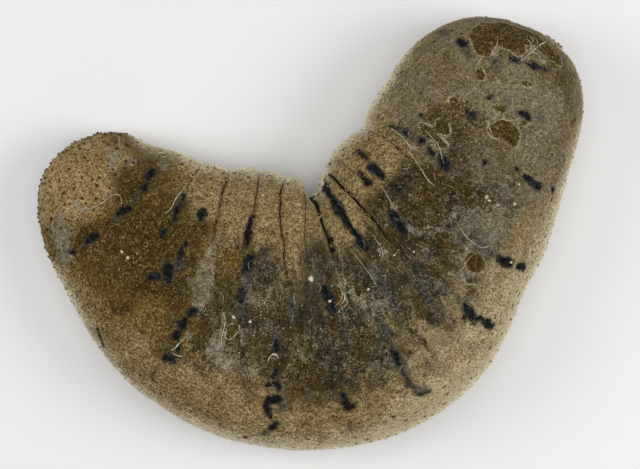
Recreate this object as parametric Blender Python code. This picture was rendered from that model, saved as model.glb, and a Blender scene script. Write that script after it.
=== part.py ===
"""A sea cucumber of the sandfish kind, life size, lying on its sole and bent to one side.

The body is a bent, flattened loaf. Each section stands upright across it, from the inner flank, which
is squeezed into folds, to the outer flank, which is stretched smooth. The mouth end is the slimmer one.
The sole carries tube feet, whose flat tips all rest on the floor at z = 0. Sizes are in metres.
"""

import math
import random
from collections import namedtuple

import bmesh
import bpy
import numpy as np
from mathutils import Vector
from mathutils.bvhtree import BVHTree

MM = 0.001
GAP = 0.3 * MM

# Sections from the mouth tip to the vent tip, in millimetres and degrees: the centre of the width, the
# bearing of the outer flank from that centre, the width before the ends round off, and the height.
Section = namedtuple("Section", "x y bearing width height")
SECTIONS = (
    Section(-77.6, 20.5, -125, 38.8, 29.0),
    Section(-67.0, 12.2, -123, 43.6, 31.0),
    Section(-61.2, 5.7, -120, 48.3, 34.0),
    Section(-54.0, -1.5, -116, 57.8, 38.0),
    Section(-44.5, -9.8, -112, 66.4, 42.0),
    Section(-34.9, -15.2, -107, 72.8, 45.0),
    Section(-22.9, -19.5, -102, 78.8, 47.5),
    Section(-10.5, -22.6, -94, 80.6, 49.0),
    Section(3.0, -24.0, -84, 79.5, 49.0),
    Section(12.7, -23.0, -72, 77.2, 48.5),
    Section(22.2, -15.9, -59, 78.4, 48.0),
    Section(29.2, -8.1, -46, 75.0, 47.0),
    Section(34.4, 2.5, -38, 70.6, 46.0),
    Section(41.9, 13.0, -33, 65.5, 45.0),
    Section(45.8, 22.9, -27, 62.3, 44.5),
    Section(49.9, 32.9, -23, 59.3, 43.5),
    Section(62.3, 61.2, -20, 57.0, 42.0),
)
MOUTH_ROUNDING = 20.6 * MM  # length over which the mouth end rounds off
VENT_ROUNDING = 29.5 * MM
MOUTH_BLUNTNESS = 2.0  # exponent of an end's outline, 2 is an ellipse
VENT_BLUNTNESS = 2.25
WIDEST_LEVEL = 0.42  # of the height, as the soft body sags
SIDE_FULLNESS = 2.3  # exponent of the section, 2 is an ellipse
SOLE_FLATNESS = 1.35  # how far the round underside would reach below the floor it is pressed on
SOLE_LIFT = 0.8 * MM  # clear height under the skin of the sole, which stands on its tube feet

# Folds of the inner flank: how far along the body, how deep, and how far over the back they reach, as a
# share of the width.
Crease = namedtuple("Crease", "along depth reach")
CREASES = (
    Crease(44.9 * MM, 0.8 * MM, 0.26),
    Crease(57.9 * MM, 2.3 * MM, 0.36),
    Crease(70.0 * MM, 1.6 * MM, 0.42),
    Crease(82.0 * MM, 2.1 * MM, 0.46),
    Crease(92.4 * MM, 1.1 * MM, 0.42),
    Crease(104.0 * MM, 1.5 * MM, 0.36),
    Crease(115.3 * MM, 1.7 * MM, 0.42),
    Crease(127.8 * MM, 2.0 * MM, 0.40),
    Crease(136.6 * MM, 1.2 * MM, 0.36),
    Crease(152.9 * MM, 1.3 * MM, 0.40),
)
CREASE_CUT = 0.9 * MM  # half width of the sharp line at the bottom of a fold
CREASE_VALLEY = 3.0 * MM  # half width of the rounded valley round it
CREASE_SHARPNESS = 0.5  # share of the depth in the sharp line
CREASE_FOOT = 0.75  # how far down the flank a fold runs, as the sine of the angle below the widest level

# Where the body is parted across, along its length.
CUTS = (36.0 * MM, 74.4 * MM, 121.5 * MM, 163.0 * MM)
LENGTHS = ("oral_end", "trunk_front", "trunk_middle", "trunk_rear", "anal_end")

COLUMNS = 40  # points round a section
CAP_RINGS = 8  # sections in each rounded end
RING_STEP = 3.4 * MM
CREASE_RINGS = (-2.2 * MM, -0.9 * MM, 0.0, 0.9 * MM, 2.2 * MM)  # sections beside each fold
LEAST_RING_STEP = 0.8 * MM

# Tube feet. Those of the sole end flat on the floor, the others are low blunt papillae.
FOOT_SIDES = 5
SOLE_FOOT = {"spacing": 8.4 * MM, "root": 1.35 * MM, "tip": 1.15 * MM}
BACK_FOOT = {"spacing": 10.6 * MM, "root": 1.5 * MM, "tip": 0.6 * MM, "height": 0.6 * MM}
FOOT_SUNK = 1.4 * MM
FOOT_FROM_CUT = 2.4 * MM
FOOT_FROM_OPENING = 2.5 * MM
FOOT_FROM_TIP = 1.5 * MM
FOOT_SEED = 11
FOOT_TRIES = 5200
SOLE_REACH = 0.70  # the sole's feet keep within this share of the half width
MIDDLE_FOOT = (98.4 * MM, math.radians(-90))  # the first foot, in the middle of the sole

# The mouth sits low on its end, and the vent sits at the end of the body.
Opening = namedtuple("Opening", "along angle radius depth lip pit_radius pit_depth lobes")
MOUTH = Opening(2.8 * MM, -90, 5.2 * MM, 3.6 * MM, 1.1 * MM, 3.2 * MM, 1.6 * MM, 12)
VENT_INSET = 1.9 * MM  # the vent's distance from the tip along the body
VENT = Opening(None, 27, 3.8 * MM, 3.0 * MM, 0.9 * MM, 1.5 * MM, 1.4 * MM, 9)
OPENING_SIDES = 36
TENTACLE_RINGS = ((12, 2.15 * MM), (7, 1.05 * MM))  # how many, and how far from the mouth's axis
TENTACLE_STALK = 0.28 * MM  # radius
TENTACLE_SHIELD = 0.48 * MM  # radius
TENTACLE_HEIGHT = 1.3 * MM  # above the disc that they stand on
TENTACLE_SUNK = 0.6 * MM
SHIELD_THICKNESS = 0.6 * MM
TENTACLE_SIDES = 6
CROWN_THICKNESS = 0.9 * MM
LOBE_HEIGHT = 0.35  # how far the lobes rise and fall, as a share of the lips' height
LIP_SLOPE = 0.4  # width of the lips' outer slope, as a share of the lips' width

SKIN_COLOUR = (0.21, 0.165, 0.095, 1.0)
MOUTH_COLOUR = (0.30, 0.25, 0.17, 1.0)
TENTACLE_COLOUR = (0.16, 0.14, 0.11, 1.0)


def natural_spline(knots, values):
    """The natural cubic spline through values at knots, as a function of a place or an array of places."""
    knots = np.asarray(knots, float)
    values = np.asarray(values, float)
    step = np.diff(knots)
    slope = np.diff(values) / step
    count = len(knots)
    system = np.eye(count)
    right = np.zeros(count)
    for i in range(1, count - 1):
        system[i, i - 1 : i + 2] = step[i - 1], 2 * (step[i - 1] + step[i]), step[i]
        right[i] = 6 * (slope[i] - slope[i - 1])
    bend = np.linalg.solve(system, right)

    def at(place):
        place = np.asarray(place, float)
        i = np.clip(np.searchsorted(knots, place) - 1, 0, count - 2)
        before = place - knots[i]
        after = knots[i + 1] - place
        cubic = (bend[i] * after**3 + bend[i + 1] * before**3) / (6 * step[i])
        first = (values[i] / step[i] - bend[i] * step[i] / 6) * after
        last = (values[i + 1] / step[i] - bend[i + 1] * step[i] / 6) * before
        return cubic + first + last

    return at


def smooth_step(low, high, value):
    """0 up to low, 1 from high on, and a smooth rise between them. It falls where high is below low."""
    share = np.clip((value - low) / (high - low), 0.0, 1.0)
    return share * share * (3 - 2 * share)


def centre_distances():
    steps = [math.dist((a.x, a.y), (b.x, b.y)) for a, b in zip(SECTIONS, SECTIONS[1:])]
    return np.concatenate([[0.0], np.cumsum(steps)]) * MM


KNOTS = centre_distances()
BODY_LENGTH = float(KNOTS[-1])
SPLINES = {
    "x": natural_spline(KNOTS, [s.x * MM for s in SECTIONS]),
    "y": natural_spline(KNOTS, [s.y * MM for s in SECTIONS]),
    "bearing": natural_spline(KNOTS, [math.radians(s.bearing) for s in SECTIONS]),
    "width": natural_spline(KNOTS, [s.width * MM for s in SECTIONS]),
    "height": natural_spline(KNOTS, [s.height * MM for s in SECTIONS]),
}


def rounding(along):
    """The share of its full size that a section has: 1 in the trunk, falling to 0 at both tips."""
    from_mouth = np.clip(1 - along / MOUTH_ROUNDING, 0.0, 1.0)
    from_vent = np.clip(1 - (BODY_LENGTH - along) / VENT_ROUNDING, 0.0, 1.0)
    mouth_end = (1 - from_mouth**MOUTH_BLUNTNESS) ** (1 / MOUTH_BLUNTNESS)
    vent_end = (1 - from_vent**VENT_BLUNTNESS) ** (1 / VENT_BLUNTNESS)
    return mouth_end * vent_end


def crease_relief(along, theta, lateral):
    """How far the skin dips at a place, from every fold that runs through it."""
    turn = SPLINES["bearing"](along + MM) - SPLINES["bearing"](along - MM)
    stretch = 1 + lateral * turn / (2 * MM)
    across = 0.5 * (1 + np.cos(theta))
    dip = 0.0
    for crease in CREASES:
        over = smooth_step(crease.reach, 0.6 * crease.reach, across)
        under = smooth_step(-CREASE_FOOT, -0.3 * CREASE_FOOT, np.sin(theta))
        away = (along - crease.along) * stretch
        line = CREASE_SHARPNESS * np.exp(-((away / CREASE_CUT) ** 2))
        valley = (1 - CREASE_SHARPNESS) * np.exp(-((away / CREASE_VALLEY) ** 2))
        dip = dip + crease.depth * over * under * (line + valley)
    return dip


def skin_point(along, theta):
    """The place on the skin, this far along the body and at this angle round it.

    The angle is 0 on the outer flank, 90 degrees on the back and 180 degrees on the inner flank."""
    along = np.asarray(along, float)
    theta = np.asarray(theta, float)
    full = rounding(along)
    half = 0.5 * SPLINES["width"](along)
    height = SPLINES["height"](along)
    level = WIDEST_LEVEL * height
    power = 2 / SIDE_FULLNESS
    side = np.sign(np.cos(theta)) * np.abs(np.cos(theta)) ** power
    rise = np.abs(np.sin(theta)) ** power
    dip = crease_relief(along, theta, full * half * side)
    lateral = (full * half - dip * np.abs(np.cos(theta))) * side
    above = full * (height - level) * rise - dip * np.abs(np.sin(theta))
    flatness = 1 + (SOLE_FLATNESS - 1) * full**2
    below = -full * level * flatness * rise
    z = level + np.where(np.sin(theta) >= 0, above, below)
    z = np.maximum(z, SOLE_LIFT)
    bearing = SPLINES["bearing"](along)
    x = SPLINES["x"](along) + lateral * np.cos(bearing)
    y = SPLINES["y"](along) + lateral * np.sin(bearing)
    return np.stack(np.broadcast_arrays(x, y, z), axis=-1)


def skin_normal(along, theta):
    """The direction straight out of the skin there."""
    nudge = 0.2 * MM
    turn = math.radians(1.0)
    forward = skin_point(along + nudge, theta) - skin_point(along - nudge, theta)
    around = skin_point(along, theta + turn) - skin_point(along, theta - turn)
    out = Vector(np.cross(forward, around))
    return out.normalized()


def section_normal(along):
    """The level direction straight through a section, towards the vent end."""
    bearing = float(SPLINES["bearing"](along))
    return Vector((-math.sin(bearing), math.cos(bearing), 0.0))


def ring_places():
    """How far along the body each section of the mesh stands, close together at folds and rounded ends."""
    steps = [i / CAP_RINGS for i in range(1, CAP_RINGS)]
    ends = [MOUTH_ROUNDING * (1 - math.cos(0.5 * math.pi * f)) for f in steps]
    ends += [BODY_LENGTH - VENT_ROUNDING * (1 - math.cos(0.5 * math.pi * f)) for f in steps]
    fixed = sorted(ends + list(CUTS) + [c.along + d for c in CREASES for d in CREASE_RINGS])
    places = []
    for place in fixed:
        if places and place - places[-1] < LEAST_RING_STEP and place not in CUTS:
            continue
        if places and place - places[-1] > RING_STEP:
            parts = math.ceil((place - places[-1]) / RING_STEP)
            places += list(np.linspace(places[-1], place, parts + 1)[1:-1])
        places.append(place)
    return places


def ring_of(along, shift=0.0):
    """One section's points, moved by shift straight through the section."""
    angles = np.linspace(0, 2 * math.pi, COLUMNS, endpoint=False)
    return skin_point(along, angles) + np.array(section_normal(along)) * shift


def lofted(name, first_cut, last_cut, places):
    """The closed piece of body between two cuts. A cut that is None is a rounded tip."""
    mesh = bmesh.new()
    start = first_cut if first_cut is not None else 0.0
    end = last_cut if last_cut is not None else BODY_LENGTH
    inside = [p for p in places if start < p < end]
    rings = [ring_of(p) for p in inside]
    if first_cut is not None:
        rings.insert(0, ring_of(first_cut, GAP / 2))
    if last_cut is not None:
        rings.append(ring_of(last_cut, -GAP / 2))
    rows = [[mesh.verts.new(point) for point in ring] for ring in rings]
    for row, after in zip(rows, rows[1:]):
        for i in range(COLUMNS):
            j = (i + 1) % COLUMNS
            mesh.faces.new((row[i], row[j], after[j], after[i]))
    if first_cut is None:
        tip = mesh.verts.new(skin_point(0.0, 0.0))
        for i in range(COLUMNS):
            mesh.faces.new((tip, rows[0][(i + 1) % COLUMNS], rows[0][i]))
    else:
        mesh.faces.new(list(reversed(rows[0])))
    if last_cut is None:
        tip = mesh.verts.new(skin_point(BODY_LENGTH, 0.0))
        for i in range(COLUMNS):
            mesh.faces.new((tip, rows[-1][i], rows[-1][(i + 1) % COLUMNS]))
    else:
        mesh.faces.new(rows[-1])
    return object_from(name, mesh)


def object_from(name, mesh):
    """A new object in the scene that holds this bmesh, with its faces turned outwards."""
    bmesh.ops.recalc_face_normals(mesh, faces=mesh.faces)
    data = bpy.data.meshes.new(name)
    mesh.to_mesh(data)
    mesh.free()
    made = bpy.data.objects.new(name, data)
    bpy.context.scene.collection.objects.link(made)
    return made


def turned_prism(mesh, base, direction, levels, sides):
    """Adds a closed, tapering prism. Levels are (height above base, radius) pairs, from its root up."""
    frame = direction.to_track_quat("Z", "Y").to_matrix()
    rows = []
    for height, radius in levels:
        row = []
        for i in range(sides):
            angle = 2 * math.pi * i / sides
            local = Vector((radius * math.cos(angle), radius * math.sin(angle), height))
            row.append(mesh.verts.new(base + frame @ local))
        rows.append(row)
    for row, after in zip(rows, rows[1:]):
        for i in range(sides):
            j = (i + 1) % sides
            mesh.faces.new((row[i], row[j], after[j], after[i]))
    mesh.faces.new(list(reversed(rows[0])))
    mesh.faces.new(rows[-1])


def join_all(whole, pieces):
    """Fuses the pieces into whole with one Boolean, removes them, and keeps the largest closed surface."""
    holder = bpy.data.collections.new(whole.name + "_pieces")
    bpy.context.scene.collection.children.link(holder)
    for piece in pieces:
        bpy.context.scene.collection.objects.unlink(piece)
        holder.objects.link(piece)
    union = whole.modifiers.new("Union", "BOOLEAN")
    union.operation = "UNION"
    union.operand_type = "COLLECTION"
    union.collection = holder
    union.solver = "EXACT"
    apply_modifiers(whole)
    for piece in pieces:
        bpy.data.objects.remove(piece)
    bpy.data.collections.remove(holder)
    keep_largest(whole)


def cut_out(whole, cutter):
    """Takes cutter's shape out of whole and removes the cutter."""
    cut = whole.modifiers.new("Cut", "BOOLEAN")
    cut.operation = "DIFFERENCE"
    cut.object = cutter
    cut.solver = "EXACT"
    apply_modifiers(whole)
    bpy.data.objects.remove(cutter)
    keep_largest(whole)


def apply_modifiers(whole):
    bpy.context.view_layer.update()
    graph = bpy.context.evaluated_depsgraph_get()
    made = bpy.data.meshes.new_from_object(whole.evaluated_get(graph))
    whole.modifiers.clear()
    whole.data = made


def keep_largest(whole):
    """Drops every closed surface of the mesh but the largest."""
    mesh = bmesh.new()
    mesh.from_mesh(whole.data)
    left = set(mesh.verts)
    groups = []
    while left:
        front = [left.pop()]
        group = set(front)
        while front:
            vertex = front.pop()
            near = {edge.other_vert(vertex) for edge in vertex.link_edges} & left
            left -= near
            group |= near
            front += near
        groups.append(group)
    groups.sort(key=len)
    bmesh.ops.delete(mesh, geom=[v for group in groups[:-1] for v in group], context="VERTS")
    mesh.to_mesh(whole.data)
    mesh.free()


def opening_place(opening):
    """Where an opening's middle is on the skin, and the direction that it faces."""
    along = opening.along if opening.along is not None else BODY_LENGTH - VENT_INSET
    angle = math.radians(opening.angle)
    return Vector(skin_point(along, angle)), skin_normal(along, angle)


def foot_places():
    """(along, angle, place, on the sole) of every tube foot, spread evenly with none near a cut or opening."""
    draw = random.Random(FOOT_SEED)
    openings = [(opening_place(o)[0], o.radius) for o in (MOUTH, VENT)]
    chosen = [(*MIDDLE_FOOT, Vector(skin_point(*MIDDLE_FOOT)), True)]
    for _ in range(FOOT_TRIES):
        along = draw.uniform(FOOT_FROM_TIP, BODY_LENGTH - FOOT_FROM_TIP)
        theta = draw.uniform(0, 2 * math.pi)
        place = Vector(skin_point(along, theta))
        on_sole = place.z < SOLE_LIFT + 0.01 * MM and abs(math.cos(theta)) < SOLE_REACH
        if place.z < 2 * SOLE_LIFT and not on_sole:
            continue
        spacing = (SOLE_FOOT if on_sole else BACK_FOOT)["spacing"]
        near_cut = any(
            abs((place - Vector(skin_point(cut, theta))).dot(section_normal(cut))) < FOOT_FROM_CUT
            for cut in CUTS
        )
        near_opening = any((place - o).length < r + FOOT_FROM_OPENING for o, r in openings)
        if near_cut or near_opening:
            continue
        if all((place - other[2]).length > spacing for other in chosen):
            chosen.append((along, theta, place, on_sole))
    return chosen


def foot(along, theta, place, on_sole):
    """One tube foot, its root sunk in the body."""
    mesh = bmesh.new()
    if on_sole:
        base = Vector((place.x, place.y, SOLE_LIFT + FOOT_SUNK))
        tall = SOLE_LIFT + FOOT_SUNK
        levels = ((0, SOLE_FOOT["root"]), (tall, SOLE_FOOT["tip"]))
        turned_prism(mesh, base, Vector((0, 0, -1)), levels, FOOT_SIDES)
    else:
        direction = skin_normal(along, theta)
        base = place - direction * FOOT_SUNK
        tall = BACK_FOOT["height"] + FOOT_SUNK
        levels = ((0, BACK_FOOT["root"]), (tall, BACK_FOOT["tip"]))
        turned_prism(mesh, base, direction, levels, FOOT_SIDES)
    return object_from("foot", mesh)


def socket(opening):
    """The hole that an opening's ring sits in."""
    place, facing = opening_place(opening)
    mesh = bmesh.new()
    radius = opening.radius + GAP
    levels = ((-opening.depth, radius), (opening.depth * 2, radius))
    turned_prism(mesh, place, facing, levels, OPENING_SIDES)
    return object_from("socket", mesh)


def puckered_ring(name, opening, body):
    """The lips round an opening: a plug with a crown of lobes about a pit. It follows body's surface."""
    place, facing = opening_place(opening)
    surface = BVHTree.FromObject(body, bpy.context.evaluated_depsgraph_get())
    frame = facing.to_track_quat("Z", "Y").to_matrix()
    slope = LIP_SLOPE * (opening.radius - opening.pit_radius)
    # Radius, height, how much the lobes show, and whether the height is counted from the body's surface.
    profile = (
        (opening.radius, GAP - opening.depth, 0.0, False),
        (opening.radius, -0.1 * opening.depth, 0.0, True),
        (opening.radius - 0.3 * slope, 0.35 * opening.lip, 0.4, True),
        (opening.radius - 1.2 * slope, opening.lip, 1.0, True),
        (opening.pit_radius + 0.2 * slope, 0.2 * opening.lip, 0.5, True),
        (opening.pit_radius, -opening.pit_depth, 0.0, False),
    )
    mesh = bmesh.new()
    rows = []
    for radius, height, lobing, follows in profile:
        row = []
        for i in range(OPENING_SIDES):
            angle = 2 * math.pi * i / OPENING_SIDES
            wave = lobing * LOBE_HEIGHT * opening.lip * math.cos(opening.lobes * angle)
            flat = place + frame @ Vector((radius * math.cos(angle), radius * math.sin(angle), 0.0))
            if follows:
                flat = surface.ray_cast(flat + facing * opening.radius, -facing)[0]
            row.append(mesh.verts.new(flat + facing * (height + wave)))
        rows.append(row)
    for row, after in zip(rows, rows[1:]):
        for i in range(OPENING_SIDES):
            j = (i + 1) % OPENING_SIDES
            mesh.faces.new((row[i], row[j], after[j], after[i]))
    mesh.faces.new(list(reversed(rows[0])))
    mesh.faces.new(rows[-1])
    return object_from(name, mesh)


def tentacle_crown():
    """The short shield-tipped tentacles, drawn into the mouth, on one small disc."""
    place, facing = opening_place(MOUTH)
    frame = facing.to_track_quat("Z", "Y").to_matrix()
    floor = -MOUTH.pit_depth + GAP
    disc = bmesh.new()
    radius = MOUTH.pit_radius - GAP
    levels = ((floor, radius), (floor + CROWN_THICKNESS, radius))
    turned_prism(disc, place, facing, levels, OPENING_SIDES // 2)
    crown = object_from("tentacles", disc)
    stalks = []
    for ring, (count, away) in enumerate(TENTACLE_RINGS):
        for i in range(count):
            angle = 2 * math.pi * (i + 0.5 * ring) / count
            base = place + frame @ Vector((away * math.cos(angle), away * math.sin(angle), floor))
            mesh = bmesh.new()
            tall = CROWN_THICKNESS + TENTACLE_HEIGHT
            levels = (
                (CROWN_THICKNESS - TENTACLE_SUNK, TENTACLE_STALK),
                (tall - SHIELD_THICKNESS, TENTACLE_STALK),
                (tall - 0.5 * SHIELD_THICKNESS, TENTACLE_SHIELD),
                (tall, 0.6 * TENTACLE_SHIELD),
            )
            turned_prism(mesh, base, facing, levels, TENTACLE_SIDES)
            stalks.append(object_from("tentacle", mesh))
    join_all(crown, stalks)
    return crown


def material(name, colour, roughness):
    made = bpy.data.materials.new(name)
    made.use_nodes = True
    shader = made.node_tree.nodes["Principled BSDF"]
    shader.inputs["Base Color"].default_value = colour
    shader.inputs["Roughness"].default_value = roughness
    shader.inputs["Metallic"].default_value = 0.0
    made.diffuse_color = colour
    return made


def dress(made, finish, parent):
    made.data.materials.clear()
    made.data.materials.append(finish)
    made.data.shade_smooth()
    made.data.set_sharp_from_angle(angle=math.radians(50))
    made.parent = parent


def build():
    for old in list(bpy.data.objects):
        bpy.data.objects.remove(old)
    root = bpy.data.objects.new("sea_cucumber", None)
    bpy.context.scene.collection.objects.link(root)

    places = ring_places()
    edges = (None, *CUTS, None)
    lengths = [lofted(n, a, b, places) for n, a, b in zip(LENGTHS, edges, edges[1:])]
    mouth_lips = puckered_ring("mouth_lips", MOUTH, lengths[0])
    vent_lips = puckered_ring("vent_lips", VENT, lengths[-1])
    cut_out(lengths[0], socket(MOUTH))
    cut_out(lengths[-1], socket(VENT))

    feet = [[] for _ in lengths]
    for along, theta, place, on_sole in foot_places():
        index = sum(along > cut for cut in CUTS)
        feet[index].append(foot(along, theta, place, on_sole))
    for length, own in zip(lengths, feet):
        join_all(length, own)

    skin = material("skin", SKIN_COLOUR, 0.55)
    lips = material("lips", MOUTH_COLOUR, 0.5)
    dark = material("tentacle_skin", TENTACLE_COLOUR, 0.45)
    for length in lengths:
        dress(length, skin, root)
    dress(mouth_lips, lips, root)
    dress(vent_lips, lips, root)
    dress(tentacle_crown(), dark, root)


build()
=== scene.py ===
"""The looks of a life-size sea cucumber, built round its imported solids.

One fine skin follows the same sections as the solids. Every place on it is given as a distance along
the body in millimetres and an angle round it in degrees: 0 on the outer flank, 90 on the back and 180 on
the inner flank, which is squeezed into folds. Its markings are fields over those two numbers. The tube
feet, granules, threads and grains take their place and their markings from the same functions.
"""

import itertools
import math
from collections import namedtuple

import bpy
import numpy as np
from mathutils.kdtree import KDTree
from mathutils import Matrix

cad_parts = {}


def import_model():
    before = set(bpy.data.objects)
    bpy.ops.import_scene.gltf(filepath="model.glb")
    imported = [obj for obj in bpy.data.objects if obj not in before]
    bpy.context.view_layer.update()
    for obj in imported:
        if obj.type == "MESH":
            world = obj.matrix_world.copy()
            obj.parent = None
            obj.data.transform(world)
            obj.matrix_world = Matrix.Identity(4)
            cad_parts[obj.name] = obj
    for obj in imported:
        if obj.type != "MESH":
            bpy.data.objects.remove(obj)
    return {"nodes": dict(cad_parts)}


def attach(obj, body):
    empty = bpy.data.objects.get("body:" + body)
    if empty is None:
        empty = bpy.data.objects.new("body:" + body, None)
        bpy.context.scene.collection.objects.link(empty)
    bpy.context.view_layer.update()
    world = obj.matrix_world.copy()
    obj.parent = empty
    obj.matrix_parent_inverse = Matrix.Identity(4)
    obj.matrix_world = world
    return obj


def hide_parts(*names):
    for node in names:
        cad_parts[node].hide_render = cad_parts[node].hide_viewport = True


MM = 0.001  # this script works in millimetres, and the frame is in metres

# The body's sections, as in the solids: centre, bearing of the outer flank, width and height.
Section = namedtuple("Section", "x y bearing width height")
SECTIONS = (
    Section(-77.6, 20.5, -125, 38.8, 29.0),
    Section(-67.0, 12.2, -123, 43.6, 31.0),
    Section(-61.2, 5.7, -120, 48.3, 34.0),
    Section(-54.0, -1.5, -116, 57.8, 38.0),
    Section(-44.5, -9.8, -112, 66.4, 42.0),
    Section(-34.9, -15.2, -107, 72.8, 45.0),
    Section(-22.9, -19.5, -102, 78.8, 47.5),
    Section(-10.5, -22.6, -94, 80.6, 49.0),
    Section(3.0, -24.0, -84, 79.5, 49.0),
    Section(12.7, -23.0, -72, 77.2, 48.5),
    Section(22.2, -15.9, -59, 78.4, 48.0),
    Section(29.2, -8.1, -46, 75.0, 47.0),
    Section(34.4, 2.5, -38, 70.6, 46.0),
    Section(41.9, 13.0, -33, 65.5, 45.0),
    Section(45.8, 22.9, -27, 62.3, 44.5),
    Section(49.9, 32.9, -23, 59.3, 43.5),
    Section(62.3, 61.2, -20, 57.0, 42.0),
)

# How long and how blunt the rounded ends are, and the shape of every section.
MOUTH_ROUNDING = 20.6
VENT_ROUNDING = 29.5
MOUTH_BLUNTNESS = 2.0
VENT_BLUNTNESS = 2.25
WIDEST_LEVEL = 0.42
SIDE_FULLNESS = 2.3
SOLE_FLATNESS = 1.35
SOLE_LIFT = 0.8  # the sole's skin stands this far above the floor

# Folds of the inner flank. A path is (along, angle) points from the flank towards the back. The line is
# the width of the slit at the bottom of the fold, which is painted dark as shade.
Crease = namedtuple("Crease", "depth line path")
CREASES = (
    Crease(0.8, 0.20, ((46, 180), (45.6, 162), (44.7, 141), (45.2, 122), (41.6, 112))),
    Crease(2.2, 0.30, ((57.4, 180), (57.4, 143), (58, 124), (60, 106))),
    Crease(1.7, 0.30, ((68.8, 180), (70, 139), (70.4, 130), (68.9, 121), (68.8, 105))),
    Crease(2.1, 0.36, ((83.2, 180), (81.4, 146), (82.3, 128), (84.4, 110), (86, 98))),
    Crease(1.1, 0.24, ((94.3, 180), (94.3, 147), (92, 123), (92.1, 111), (94.2, 102))),
    Crease(1.6, 0.50, ((102.4, 180), (103.7, 151), (103.9, 135), (104, 123), (104.1, 113))),
    Crease(1.4, 0.60, ((114.5, 180), (114.3, 147), (115.2, 136), (117, 123), (116.9, 104))),
    Crease(2.0, 0.60, ((127.7, 180), (128.3, 134), (127.7, 117), (126.5, 103))),
    Crease(1.2, 0.26, ((136.2, 180), (136.9, 139), (136.5, 121), (135.4, 108))),
    Crease(1.3, 0.24, ((152.4, 180), (153.2, 147), (152.6, 129), (151.3, 117), (149.4, 107))),
)
CREASE_CUT = 0.45  # half width of the cut at the bottom of a fold
CREASE_VALLEY = 2.6  # half width of the valley round it
CREASE_SHARPNESS = 0.5  # the cut's share of a fold's depth
CREASE_FADE = 10  # degrees over which a fold fades out on the back
CREASE_FOOT = 0.75  # how far below the widest level a fold has faded out, as a sine
CREASE_WANDER = ((0.35, 5.0, 61),)  # reach, size and seed of each noise
SLIT_TAPER = (178, 156)  # degrees over which a slit opens, from the widest level up

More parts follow.
